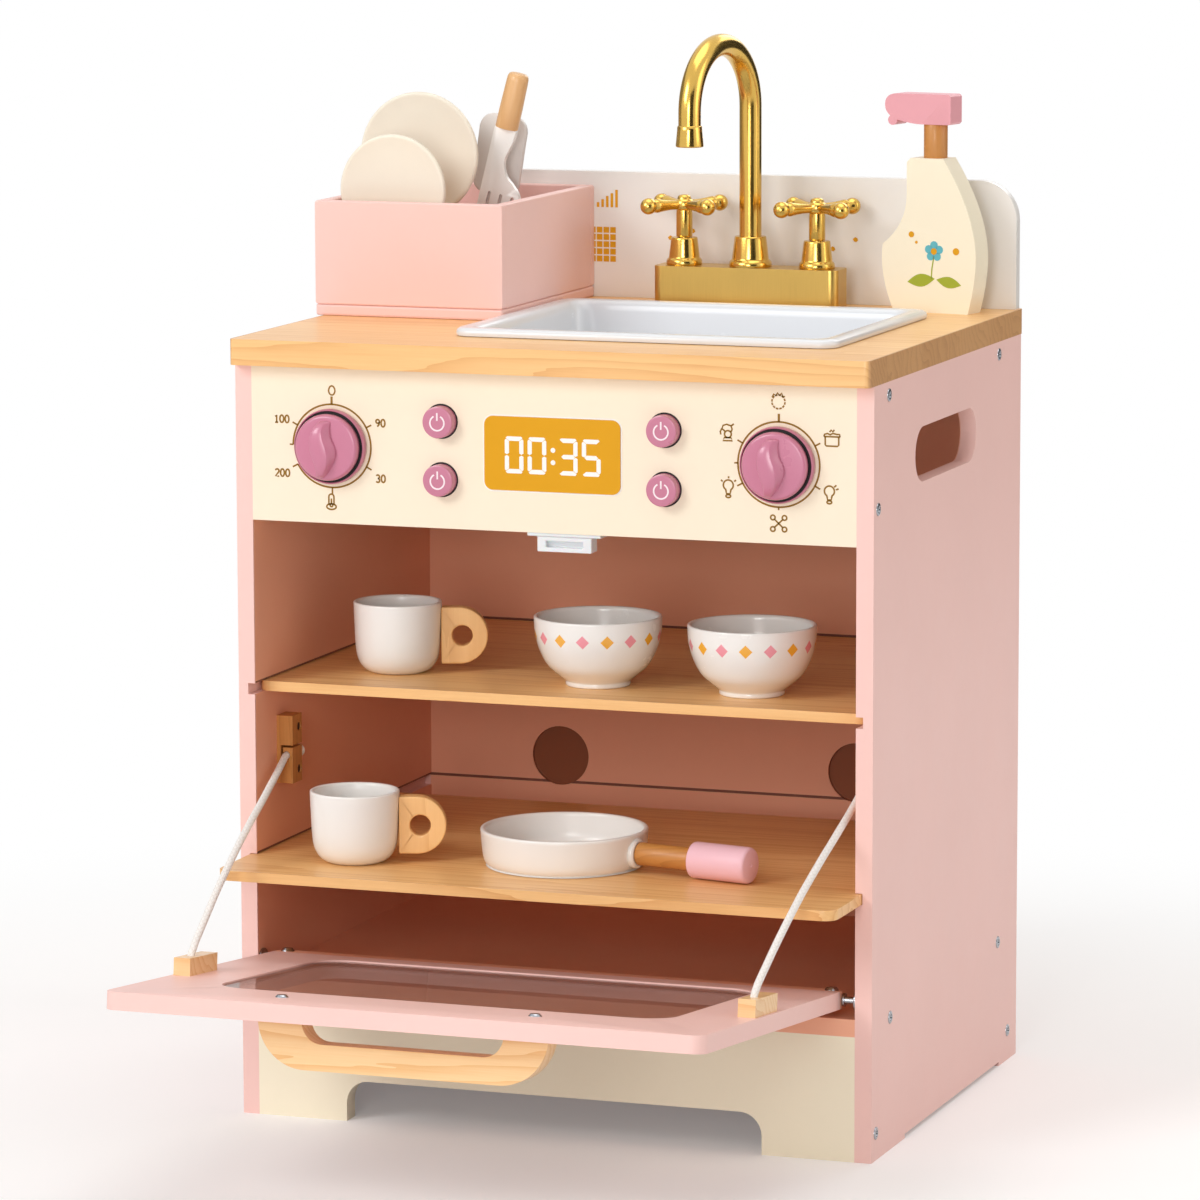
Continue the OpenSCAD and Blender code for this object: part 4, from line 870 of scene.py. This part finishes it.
class KITCHEN_OT_prints(Step, bpy.types.Operator):
    """Print the rings, ticks, numbers and small signs on the control panel, and the display's digits"""
    bl_idname = "kitchen.prints"
    bl_label = "Panel prints"

    def build(self):
        self.rings()
        self.display()
        self.splash()

    def rings(self):
        ring, line = sizes().ring_radius * 1000, 1.2
        bm = bmesh.new()
        for name, bottom in (("dial_left", 4.4), ("dial_right", 2.0)):
            middle = box(name)[2] * 1000
            place = facing_front(middle.x, 0.0, middle.z)
            if name == "dial_left":
                stroke(bm, arc(0, 0, ring, 180, -152, 110), line, place)
            else:
                stroke(bm, arc(0, 0, ring, 0, 360 - 360 / 110, 109), line, place, closed=True)
            for angle, long in ((28, 4.2), (-28, 4.2), (152, 4.2), (208, 4.4), (90, 5.4), (180, 2.6), (270, bottom)):
                a = math.radians(angle)
                stroke(bm, [(reach * math.cos(a), reach * math.sin(a)) for reach in (ring, ring + long)],
                       line * (1.3 if angle == 90 else 0.9), place)
        for text, x, z in (("90", -122.7, 490.6), ("30", -122.8, 452.3),
                           ("200", -195.5, 453.6), ("100", -195.6, 490.9)):
            write_digits(bm, text, x, z, 5.4, 1.12, facing_front(0, 0, 0))
        self.signs(bm, line * 0.9)
        print_piece("panel_prints", bm, "cabinet", "brown_print")

    def signs(self, bm, line):
        """Small cooking signs: drop, thermometer, steam, pot, bulbs, burners and a mixer"""
        def draw(x, z, lines, closed=()):
            place = facing_front(x, 0.0, z)
            for i, points in enumerate(lines):
                stroke(bm, points, line, place, closed=i in closed)
        draw(-158.3, 511.7, [[(0, 3.3), (-1.3, 2.7), (-2.1, 1.3), (-2.4, -0.3), (-1.7, -2.2), (-0.7, -3.0), (0.7, -3.0),
                              (1.7, -2.2), (2.4, -0.3), (2.1, 1.3), (1.3, 2.7)]], (0,))
        draw(-159.3, 431.5, [[(-1.9, 1.6), (-1.9, 6.6)] + arc(0, 6.8, 1.9, 180, 0, 10) + [(1.9, 6.6), (1.9, 1.6)],
                             arc(0, 0, 3.5, 0, 345, 24, 0.56), arc(0, 0.9, 1.0, 0, 330, 11),
                             [(0, 2.2), (0, 5.6)]], (1, 2))
        burners = []
        for sx in (-1, 1):
            for sz in (-1, 1):
                burners += [arc(sx * 4.1, sz * 3.9, 1.6, 0, 345, 14), [(0, 0), (sx * 3.0, sz * 2.8)]]
        draw(163.5, 433.8, burners, (0, 2, 4, 6))
        wreath = [arc(0, 0, 4.6, 98 + 30 * k, 120 + 30 * k, 5) for k in range(12)]
        draw(163.2, 515.6, wreath + [[(-4.4, 3.0), (-3.2, 5.2), (-1.9, 4.2), (-0.6, 6.0), (0.7, 4.4), (2.2, 5.8),
                                      (3.0, 3.8), (4.6, 3.6)]])
        draw(200.7, 492.7, [[(-4.7, 0.6), (-4.7, -4.6), (-3.9, -5.4), (3.9, -5.4), (4.7, -4.6), (4.7, 0.6)],
                            [(-5.6, 0.9), (5.6, 0.9)], [(-5.6, 0.9), (-5.2, 2.4), (-3.2, 3.0), (-1.2, 2.2), (0.6, 3.2),
                                                        (3.2, 2.6), (5.2, 2.6), (5.6, 0.9)],
                            [(-1.6, 4.0), (-0.6, 5.4), (0.6, 4.2), (1.6, 5.6)]])
        for x, z, rays in ((199.0, 455.2, ((3.4, 4.6, 4.8, 6.0), (4.6, 3.0, 6.4, 3.6))),
                           (128.0, 456.4, ((-4.0, 4.2, -5.2, 5.2), (0.2, 6.4, 0.2, 7.8), (4.2, 4.4, 5.4, 5.4)))):
            draw(x, z, [arc(0, 1.8, 3.5, -58, 238, 20) + [(-1.5, -2.6), (-1.3, -4.0), (1.3, -4.0), (1.5, -2.6)],
                        arc(0, -5.6, 1.7, 0, 345, 14, 0.6)] + [[(a, b), (c, d)] for a, b, c, d in rays], (0, 1))
        draw(127.3, 493.8, [[(-2.2, -3.6), (2.6, -3.6), (3.6, -5.6), (-3.2, -5.6)], arc(0.4, -1.2, 2.4, 0, 345, 16),
                            [(-1.6, 0.6), (-3.8, 2.4), (-3.0, 4.6), (-0.4, 5.4), (2.6, 4.4), (3.4, 2.2), (2.4, 0.2)],
                            [(-3.8, 2.4), (-5.0, 0.4), (-4.6, -1.6)], [(2.6, 4.4), (4.6, 5.8)]], (0, 1))

    def display(self):
        low, _, middle = box("display_plate")
        middle = middle * 1000
        place = facing_front(middle.x, (low.y - FRONT) * 1000, middle.z)
        h = sizes().digit_height * 1000
        bm = bmesh.new()
        for sign, x in zip("0035", (-34.0, -17.5, 5.0, 21.6)):
            for key in SEGMENTS[sign]:
                shape = segment_outline(key, h * 0.535, h, h * 0.120, h * 0.012)
                patch(bm, [(x + px, py - h / 2 - 0.8) for px, py in shape], place)
        for z in (3.4, -5.0):
            patch(bm, arc(0.8, z, 1.7, 0, 342, 19), place)
        print_piece("display_digits", bm, "cabinet", "white_print")
        bm = bmesh.new()
        stroke(bm, round_rect(49.6, 25.85, 6.6, 8), 1.1, facing_front(middle.x, 0.0, middle.z), closed=True)
        print_piece("display_border", bm, "cabinet", "white_print")

    def splash(self):
        """Bars, a tiled block and small marks on the splash board, partly behind the box and the tap"""
        y = (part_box("splash_board")[0][1] - FRONT) * 1000
        place = facing_front(0, y, 0)
        bm = bmesh.new()
        for k, tall in enumerate((3.6, 5.8, 8.2, 10.4, 12.9)):
            x, foot = 3.6 * k - 91.0, 611.7
            patch(bm, [(x, foot), (x + 2, foot), (x + 2, foot + tall), (x, foot + tall)], place)
        print_piece("splash_bars", bm, "cabinet", "mustard_print")
        add_piece("splash_tiles", tile_grid(mm(-86.2, y, 584.5)), "cabinet", "mustard_print")
        bm = bmesh.new()
        for cx, cz in ((-33.7, 590.5), (-16.7, 596.1), (90.3, 585.9), (107.5, 593.0)):
            patch(bm, [(cx + x, cz + z) for x, z in (
                (-2.1, 0.4), (-1.2, -1.2), (0.4, -1.8), (2.0, -0.6), (1.4, 1.1), (-0.2, 1.9))], place)
        print_piece("splash_marks", bm, "cabinet", "mustard_print")


def grow_mesh(name, start, inputs, build):
    """The plain mesh that geometry nodes make from a start mesh; inputs are label: (socket kind, value)"""
    tree = bpy.data.node_groups.new(name, "GeometryNodeTree")
    face, geometry = tree.interface, "NodeSocketGeometry"
    face.new_socket("Geometry", in_out="INPUT", socket_type=geometry)
    ids = {label: face.new_socket(label, in_out="INPUT", socket_type=kind).identifier
           for label, (kind, _) in inputs.items()}
    face.new_socket("Geometry", in_out="OUTPUT", socket_type=geometry)
    wire = Wiring(tree)
    points, instance, more = build(wire, wire.add("NodeGroupInput").outputs)
    spread = wire.get("GeometryNodeInstanceOnPoints", {"Points": points, "Instance": instance, **more})
    wire.add("NodeGroupOutput", [wire.get("GeometryNodeRealizeInstances", [spread])])
    carrier = new_object(name, start)
    modifier = carrier.modifiers.new(name, "NODES")
    modifier.node_group = tree
    for label, (_, value) in inputs.items():
        modifier[ids[label]] = value
    graph = bpy.context.evaluated_depsgraph_get()
    result = bpy.data.meshes.new_from_object(carrier.evaluated_get(graph), depsgraph=graph)
    result.name = name
    carrier.modifiers.remove(modifier)
    bpy.data.objects.remove(carrier)
    return result


def tile_grid(centre):
    """Four by five small tiles about a centre"""
    def build(wire, given):
        grid = wire.get("GeometryNodeMeshGrid", {
            "Size X": given["Across"], "Size Y": given["Up"], "Vertices X": 4, "Vertices Y": 5})
        stand = wire.get("GeometryNodeTransform", {
            "Geometry": grid, "Rotation": (math.pi / 2, 0, 0), "Translation": centre})
        size = wire.get("ShaderNodeCombineXYZ", [given["Tile"], given["Thickness"], given["Tile"]])
        return stand, wire.get("GeometryNodeMeshCube", {"Size": size}), {}
    return grow_mesh("splash_tiles", bpy.data.meshes.new("start"), {
        "Across": (NUMBER, 0.0156), "Up": (NUMBER, 0.0212), "Tile": (NUMBER, 0.0043),
        "Thickness": (NUMBER, 2 * sizes().print_height)}, build)


class KITCHEN_OT_screws(Step, bpy.types.Operator):
    """Set a screw head in each hole of the side panels, by geometry nodes"""
    bl_idname = "kitchen.screws"
    bl_label = "Screws"

    def build(self):
        head = new_object("head_carrier", self.head_mesh())
        spots = [(33.7, 519), (300, 519), (10, 444.8), (307, 92.5), (42, 92.5), (334, 22), (10, 19)]
        start = bpy.data.meshes.new("start")
        start.from_pydata([mm(side * 230.2, y, z) for side in (-1, 1) for y, z in spots], [], [])

        def build(wire, given):
            x = wire.split(wire.get("GeometryNodeInputPosition"))[0]
            turn = wire.get("ShaderNodeCombineXYZ", {"Z": x.op("LESS_THAN", 0.0) * math.pi})
            info = wire.get("GeometryNodeObjectInfo", {"Object": given["Head"]}, "Geometry")
            return given["Geometry"], info, {"Rotation": turn}
        result = grow_mesh("side_screw_heads", start, {"Head": ("NodeSocketObject", head)}, build)
        bpy.data.objects.remove(head)
        result.shade_smooth()
        result.set_sharp_from_angle(angle=math.radians(35))
        add_piece("side_screw_heads", result, "cabinet", "steel", ("side_screws",))

    def head_mesh(self):
        """One countersunk head with a cross recess, its axis along X, in the middle of the origin"""
        bm = bmesh.new()
        lathe(bm, [(0, -2), (4.3, -2), (4.4, -0.2), (4.2, 0.3), (3.6, 0.5), (2.6, 0.5), (2.3, 0.1), (2.1, -0.6),
                   (0.9, -1.1), (0, -1.2)], Vector(), 24, SIDEWAYS)
        for turn in (0.4, 0.4 + math.pi / 2):
            way = Matrix.Rotation(turn, 4, "X")
            for s in (-1, 1):
                loft(bm, [[way @ (Vector((x, s * y, z)) / 1000) for y, z in (
                    (2.2, -0.5), (3.1, -0.4), (3.1, 0.4), (2.2, 0.5))] for x in (0.22, 0.52)])
        return to_mesh(bm, "screw_head", 35)


# The left rope's route in millimetres: the part's own, raised by up to 8 mm between its ends as in the photo
ROPE_ROUTE = [(-211, 52, 249), (-211, 41, 249), (-211, 36.8, 248.3), (-210.8, 33, 246.6),
              (-210, 19.9, 240.2), (-209.2, 6.9, 234.3), (-208.3, -6.2, 228.5), (-207.5, -19.3, 222.8),
              (-206.7, -32.4, 217.3), (-205.9, -45.4, 211.5), (-205.1, -58.5, 205.5), (-204.2, -71.6, 199.2),
              (-203.4, -84.6, 192.5), (-202.6, -97.7, 185.5), (-201.8, -110.8, 178.1), (-200.9, -123.9, 170.2),
              (-200.1, -136.9, 162.1), (-199.3, -150, 153.9), (-199, -155, 149.8), (-199, -158, 147.4),
              (-199, -159.3, 144.6), (-199, -159.6, 141.4)]


class KITCHEN_OT_ropes(Step, bpy.types.Operator):
    """Lay the two braided ropes that hold the open door, with their ends and the wall blocks' screws, which are
    coloured near black as painted shade of their holes
    """
    bl_idname = "kitchen.ropes"
    bl_label = "Ropes"

    def build(self):
        low, high, _ = box("wall_rope_blocks")
        bm = bmesh.new()
        for side in (-1, 1):
            for z in (low.z + 0.009, high.z - 0.009):
                lathe(bm, [(0, -2), (2.9, -2), (2.9, -0.4), (2.2, 0), (1, -0.6), (0, -0.7)],
                      Vector((side * (high.x - 0.0117), low.y + 0.0119, z)), 28,
                      Matrix.Rotation(-side * math.pi / 2, 4, "Y"))
        # painted shade: the screw heads are near black, standing for the shaded holes
        add_solid("block_screws", bm, "cabinet", "hole_shade_brown")
        for name, side in (("left", -1), ("right", 1)):
            turn_piece("rope_tip_" + name, [
                (0, 0), (2.5, 0), (3, 3), (4.4, 7), (4.6, 8), (3.4, 8.6), (0, 8.2)], mm(side * 211, 53, 249), 32,
                Matrix.Rotation(-math.pi / 2, 4, "X"), "cabinet", "white_print", "rope")
        self.make_rope("rope_left", 1)
        self.make_rope("rope_right", -1)

    def make_rope(self, name, side):
        """One rope, its UV map counting strands round it and along it"""
        diameter, sides, strands, pitch = sizes().rope_diameter, 24, 4, 0.0042
        fine = [Vector(p) for p in smooth_curve([mm(side * x, y, z) for x, y, z in ROPE_ROUTE], 5)]
        bm = bmesh.new()
        uv = bm.loops.layers.uv.new("UVMap")
        rings = tube(bm, fine, [diameter / 2] * len(fine), sides)
        reach = [0.0]
        for a, b in zip(fine, fine[1:]):
            reach.append(reach[-1] + (b - a).length)
        spot = {vert: (k, reach[i]) for i, ring in enumerate(rings) for k, vert in enumerate(ring)}
        for face in bm.faces:
            ks = [spot[v][0] for v in face.verts]
            wrap = max(ks) - min(ks) > sides / 2
            for loop in face.loops:
                k, s = spot[loop.vert]
                loop[uv].uv = ((k + sides if wrap and k < sides / 2 else k) / sides * strands, s / pitch)
        mesh = to_mesh(bm, name + "_braid", 180)
        piece = add_piece(name + "_braid", mesh, None, "braided_rope", (name,))
        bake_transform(piece)


def make_vessel(body, part, finish, outer, rim, inner, fine, steps):
    """A turned vessel: curves through its outer and inner profile, with a plain rim between them"""
    low, _, middle = box(body)
    turn_piece(body + part, smooth_curve(outer, fine) + rim + smooth_curve(inner, fine),
               Vector((middle.x, middle.y, low.z)), steps, Matrix(), body, finish, "white_plastic", (body,), 60)


class KITCHEN_OT_dishes(Step, bpy.types.Operator):
    """Turn the mugs, bowls and pan, with their wooden handles"""
    bl_idname = "kitchen.dishes"
    bl_label = "Mugs, bowls and pan"

    def build(self):
        for name in ("mug_upper", "mug_lower"):
            make_vessel(name, "_cup", "white_paint", [
                (0, 0.4), (17, 0.4), (17.6, 0), (19, 0.3), (22.5, 2), (26.2, 5.8), (28.7, 11.8), (29.8, 20),
                (30.4, 32), (30.9, 44), (31, 48.8)], [(30.95, 49.5), (30.3, 50), (29.2, 50), (28.3, 49.4)], [
                (27.9, 48), (27.5, 32), (26.8, 20), (25.6, 12.8), (23.2, 8), (19.5, 5), (15, 3.8), (0, 3.6)], 3, 96)
            dress_boards(("pine_ear", 0.0016, 3, name + "_handle"))
        for name in ("bowl_left", "bowl_right"):
            make_vessel(name, "_cup", name + "_glaze", [
                (0, 1.2), (19.6, 1.2), (20.4, 0.4), (21.4, 0), (22.4, 0.6), (22.6, 2), (22.5, 3.4), (24, 4.8),
                (28.8, 8.6), (35.4, 14.8), (40.6, 24.8), (43.6, 35.2), (44.3, 43), (44.48, 47.4)], [
                (44.3, 48.2), (43.6, 48.6), (42.5, 48.5), (41.7, 47.8)], [
                (41.2, 46.4), (40.7, 40), (39.6, 33), (36.6, 24), (31, 16), (24, 10.8), (16, 7.8), (8, 6.8),
                (0, 6.6)], 4, 112)
        make_vessel("pan", "_body", "white_paint", [
            (0, 0.2), (50, 0.2), (52.6, 0.8), (54.8, 2.8), (56.1, 6.2), (56.8, 11), (57.4, 17.5), (57.9, 23.5)], [
            (58, 25), (57.7, 25.8), (57, 26.2), (55.6, 26.2), (54.7, 25.6)], [
            (54.3, 24.4), (53.9, 18), (53.2, 11.2), (51.8, 7), (49, 4.4), (44, 3.6), (0, 3.4)], 4, 128)
        low, _, middle = box("pan")
        turned = (Vector((middle.x, middle.y, low.z + 0.013)), 56,
                  Matrix.Rotation(math.radians(-11), 4, "Z") @ SIDEWAYS, "pan")
        turn_piece("pan_lug", [
            (0, 55.6), (10, 55.6), (10.6, 56.6), (10.4, 58.2), (9.8, 59.4), (9, 60), (8.2, 60), (8, 59.4), (0, 59.4)],
            *turned, "white_paint", "white_plastic", sharp=40)
        turn_piece("pan_stem", [(0, 60), (7.6, 60), (8, 60.8), (7.9, 76), (8, 94), (8.1, 102.8), (0, 102.8)],
                   *turned, "beech_x", "beech", ("pan_handle",), 40)
        turn_piece("pan_grip_sleeve", [
            (0, 103), (11.2, 103), (12.1, 103.4), (12.5, 104.6), (12.5, 143.6), (12.3, 145.6), (11.7, 146.8),
            (10.4, 147.4), (1.2, 147.5), (1, 147), (0, 147)], turned[0], 64, *turned[2:], "grip_paint", "mauve",
            ("pan_grip",), 40)


class KITCHEN_OT_cutlery(Step, bpy.types.Operator):
    """Turn the two plates and shape the fork and the spatula in the box"""
    bl_idname = "kitchen.cutlery"
    bl_label = "Plates and cutlery"

    def build(self):
        for name, r in (("plate_large", 45), ("plate_small", 40)):
            low, high, middle = box(name)
            turn_piece(name + "_disc", [
                (0, 0), (r * 0.72, 0), (r - 2.2, 0.3), (r - 0.8, 1), (r, 2.2), (r - 0.2, 4), (r - 0.8, 4.8),
                (r - 2, 5), (r - 3.2, 4.7), (r - 6, 3.8), (r - 14, 2.8), (r * 0.40, 2.1), (0, 1.9)],
                Vector((middle.x, high.y, low.z + r / 1000)), 112, UPRIGHT,
                name, "plate_paint", "cream_board", (name,), 50)
        self.fork()
        self.spatula()

    def leaning(self, node, x, y, foot, lean):
        """Where a leaning thing stands: its own X and Z in the plane of the photo, its back on y"""
        return Matrix.Translation((x / 1000, FRONT + y / 1000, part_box(node)[0][2] + foot / 1000)) @ \
            Matrix.Rotation(math.radians(lean), 4, "Y") @ Matrix.Translation((0, 0.002, 0)) @ UPRIGHT

    def fork(self):
        place = self.leaning("fork", -158, 262, 0.47, 14)
        outline = [(-8.6, 4)]
        for slot in (-1, 8, 17):
            outline += [(slot - 1.8, 4), *arc(slot, 75.5, 1.8, 180, 0, 6), (slot + 1.8, 4)]
        outline += [(21.5, 4), *smooth_curve([
            (23, 30), (24.2, 58), (23.8, 70), (21.2, 79), (15.0, 85), (9.2, 89.5), (5.6, 95.5), (4.6, 102),
            (6.2, 109), (8.0, 116)], 4)]
        outline += [(8.6, 121), (8.3, 123.4), (6.8, 124.4), (-6.8, 124.4), (-8.3, 123.6), (-8.6, 122)]
        bm = bmesh.new()
        slab(bm, outline, 4.5, place, 0.6, 2)
        add_solid("fork_blade", bm, "fork", "white_paint", ("fork",), 50)
        turn_piece("fork_stick", [
            (0, 123.6), (8, 123.6), (8.4, 124.4), (8.3, 140), (7.9, 158), (7.7, 161.2), (7, 163.2), (5.6, 164.2),
            (3, 164.6), (0, 164.7)], Vector(), 64,
            place @ Matrix.Translation((0, 0, 0.002)) @ Matrix.Rotation(-math.pi / 2, 4, "X"),
            "fork", "stick_wood", "beech", ("fork_handle",), 50)

    def spatula(self):
        place = self.leaning("spatula", -157, 284, 0.94, 9)
        outline = [(-6, 1), (6, 1), (6, 70), *arc(8, 81, 10, -80, 0, 4), *arc(8, 119, 10, 0, 90, 6),
                   *arc(-8, 119, 10, 90, 180, 6), *arc(-8, 81, 10, 180, 260, 4), (-6, 70)]
        bm = bmesh.new()
        slab(bm, outline, 4.5, place, 0.9)
        add_solid("spatula_blade", bm, "spatula", "grey_paint", ("spatula",), 50)


class KITCHEN_OT_bottle(Step, bpy.types.Operator):
    """Finish the spray bottle and print a plain sprig on its front"""
    bl_idname = "kitchen.bottle"
    bl_label = "Spray bottle"

    def build(self):
        dress_boards(("warm_cream", 0.0018, 3, "spray_bottle"), ("beech_z", 0.0004, 2, "spray_neck"),
                     ("rose_paint", 0.0022, 3, "spray_head"))
        place = Matrix.Translation(mm(179.5, 319, WORKTOP * 1000)) @ Matrix.Rotation(math.radians(-10), 4, "Z") @ \
            Matrix.Translation((0, -0.010, 0)) @ UPRIGHT
        leaves, flowers, dots = bmesh.new(), bmesh.new(), bmesh.new()
        for x, z, long, wide, angle in ((-20, 21.5, 22, 4.6, 8), (3, 24, 20, 4, -10)):
            a = math.radians(angle)
            shape = [(k / 10, wide * math.sin(math.pi * k / 10)) for k in range(11)]
            shape += [(u, -v) for u, v in shape[-2:0:-1]]
            patch(leaves, [(x + long * u * math.cos(a) - v * math.sin(a), z + long * u * math.sin(a) + v * math.cos(a))
                           for u, v in shape], place)
        stroke(leaves, [(-1, 24), (-0.5, 32), (1, 40.5)], 0.9, place)
        for k in range(5):
            a = TAU * k / 5 + 0.3
            patch(flowers, arc(1 + 4.4 * math.cos(a), 44 + 4.4 * math.sin(a), 3, 0, 336, 14), place)
        patch(dots, arc(1, 44, 2.4, 0, 336, 14), place, 1.6)
        for x, z, r in ((-17, 55.5, 2.2), (18.5, 44.5, 2.6), (-13, 50, 1.1)):
            patch(dots, arc(x, z, r, 0, 330, 11), place)
        print_piece("bottle_leaves", leaves, "spray_bottle", "leaf_print")
        print_piece("bottle_flower", flowers, "spray_bottle", "blue_print")
        print_piece("bottle_dots", dots, "spray_bottle", "mustard_print")


class KITCHEN_OT_stage(Step, bpy.types.Operator):
    """Set the floor, the backdrop, the lamps and the camera"""
    bl_idname = "kitchen.stage"
    bl_label = "Stage"

    def build(self):
        bpy.context.scene.view_settings.view_transform = "Standard"
        self.make_camera()
        self.make_floor()
        self.make_world()
        for name, place, aim, size, power, tint in (
                ("key", (-1.6, -2.4, 2.1), (0, 0, 0.36), (1.4, 1.4), 45, (0.985, 0.99, 1.0)),
                ("front", (0.45, -3.2, 0.9), (0, 0.1, 0.30), (0.9, 0.9), 26, (1.0, 0.99, 0.975)),
                ("fill", (2.7, 0.3, 1.3), (0, 0, 0.35), (1.2, 1.8), 13, (1.0, 0.92, 0.84)),
                ("top", (0.1, 0.2, 2.8), (0, 0, 0.5), (2.0, 1.6), 18, (1.0, 0.99, 0.97)),
                ("rim", (0.6, 2.4, 1.8), (0, 0, 0.5), (1.6, 1.2), 14, (1, 1, 1))):
            lamp = bpy.data.lights.new(name, "AREA")
            lamp.shape = "RECTANGLE"
            lamp.size, lamp.size_y = size
            lamp.energy, lamp.color = power, tint
            way = (Vector(aim) - Vector(place)).to_track_quat("-Z", "Y").to_matrix().to_4x4()
            new_object(name, lamp).matrix_world = Matrix.Translation(place) @ way
        self.make_card("card_right", 38, 2.0, 0.03)
        self.make_card("card_rear", 150, 2.0, 0.05)
        self.make_card("card_left", -110, 3.2, 0.30)

    def make_camera(self):
        """The camera that the photo was fitted with: its angles, its place and its focal length in pixels"""
        yaw, pitch, roll = 0.3449, 0.148, -0.0028
        focal, width = 6002.8, 1200
        ahead = Vector((-math.sin(yaw) * math.cos(pitch), math.cos(yaw) * math.cos(pitch), -math.sin(pitch)))
        right = Vector((math.cos(yaw), math.sin(yaw), 0))
        up = right.cross(ahead)
        side, top = (right * math.cos(roll) + up * math.sin(roll), up * math.cos(roll) - right * math.sin(roll))
        camera = bpy.data.cameras.new("kitchen_camera")
        camera.sensor_width, camera.sensor_fit = 36, "HORIZONTAL"
        camera.lens, camera.clip_end = focal / width * 36, 50
        eye = new_object("kitchen_camera", camera)
        turn = Matrix((side, top, -ahead)).transposed().to_4x4()
        eye.matrix_world = Matrix.Translation((1.3957, FRONT - 3.7836, 0.9754)) @ turn
        bpy.context.scene.camera = eye

    def make_floor(self):
        """A pale floor that fades to plain white away from the object"""
        wire, fade = new_material("pale_floor", "ShaderNodeMixShader")
        ground = wire.get("ShaderNodeBsdfPrincipled", {
            "Base Color": (0.88, 0.88, 0.88), "Roughness": 0.8, "Specular IOR Level": 0.0})
        x, y, _ = wire.split(wire.get("ShaderNodeTexCoord", output="Object"))
        reach, seen = (x * x + y * y).op("SQRT"), wire.seen()
        lift = wire.get("ShaderNodeEmission", {"Strength": seen * 0.16})
        for socket, value in zip(fade.inputs, (
                seen * reach.ramp(0.50, 1.15), wire.get("ShaderNodeAddShader", [ground, lift]),
                wire.get("ShaderNodeEmission", {"Strength": 1.0}))):
            wire.feed(socket, value)
        self.make_sheet("floor", [(-9, -9, 0), (9, -9, 0), (9, 9, 0), (-9, 9, 0)], "pale_floor")

    def make_world(self):
        """White to the eye and in reflections, and a weaker warm light elsewhere"""
        world = bpy.context.scene.world = bpy.data.worlds.new("studio")
        world.use_nodes = True
        world.node_tree.nodes.clear()
        wire = Wiring(world.node_tree)
        fill = wire.get("ShaderNodeBackground", {"Color": (1.0, 0.968, 0.94), "Strength": 0.38})
        white = wire.get("ShaderNodeBackground", {"Color": (1, 1, 1), "Strength": 1.0})
        wire.add("ShaderNodeOutputWorld", [wire.get("ShaderNodeMixShader", [wire.seen(), fill, white])])

    def make_card(self, name, around, wide, tone):
        """A grey card beside the object that only mirror-like surfaces see"""
        a = math.radians(around)
        across, rise = Vector((math.cos(a), math.sin(a), 0)) * (wide / 2), Vector((0, 0, 1.0))
        middle = Vector((math.sin(a) * 2.6, -math.cos(a) * 2.6, 1.05))
        _, glow = new_material(name, "ShaderNodeEmission")
        glow.inputs["Strength"].default_value = tone
        card = self.make_sheet(name, [middle - across - rise, middle + across - rise, middle + across + rise,
                                      middle - across + rise], name)
        card.visible_camera = card.visible_diffuse = card.visible_shadow = card.visible_transmission = False

    def make_sheet(self, name, corners, material):
        mesh = bpy.data.meshes.new(name)
        mesh.from_pydata([tuple(corner) for corner in corners], [], [(0, 1, 2, 3)])
        mesh.materials.append(FINISH[material])
        sheet = new_object(name, mesh)
        return sheet


class KITCHEN_PT_panel(bpy.types.Panel):
    """Lists the kitchen's sizes, colours and pieces"""
    bl_idname = "KITCHEN_PT_panel"
    bl_label = "Play kitchen"
    bl_space_type = "VIEW_3D"
    bl_region_type = "UI"
    bl_category = "Kitchen"

    def draw(self, context):
        column = self.layout.column()
        for key in KitchenSizes.__annotations__:
            column.prop(context.scene.kitchen_sizes, key)
        for key in KitchenColours.__annotations__:
            column.prop(context.scene.kitchen_colours, key)
        for operator in OPERATORS:
            column.operator(operator.bl_idname)


OPERATORS = (KITCHEN_OT_stage, KITCHEN_OT_materials, KITCHEN_OT_ropes, KITCHEN_OT_boards, KITCHEN_OT_sink,
             KITCHEN_OT_tap, KITCHEN_OT_dials, KITCHEN_OT_prints, KITCHEN_OT_screws, KITCHEN_OT_door,
             KITCHEN_OT_dishes, KITCHEN_OT_cutlery, KITCHEN_OT_bottle)
CLASSES = (KitchenSizes, KitchenColours, *OPERATORS, KITCHEN_PT_panel)


def register():
    for item in CLASSES:
        bpy.utils.register_class(item)
    bpy.types.Scene.kitchen_sizes = bpy.props.PointerProperty(type=KitchenSizes)
    bpy.types.Scene.kitchen_colours = bpy.props.PointerProperty(type=KitchenColours)


def unregister():
    del bpy.types.Scene.kitchen_colours
    del bpy.types.Scene.kitchen_sizes
    for item in reversed(CLASSES):
        bpy.utils.unregister_class(item)


def main():
    register()
    for operator in OPERATORS:
        group, action = operator.bl_idname.split(".")
        if getattr(getattr(bpy.ops, group), action)() != {"FINISHED"}:
            raise RuntimeError(operator.bl_label + " didn't finish")


if __name__ == "__main__":
    main()
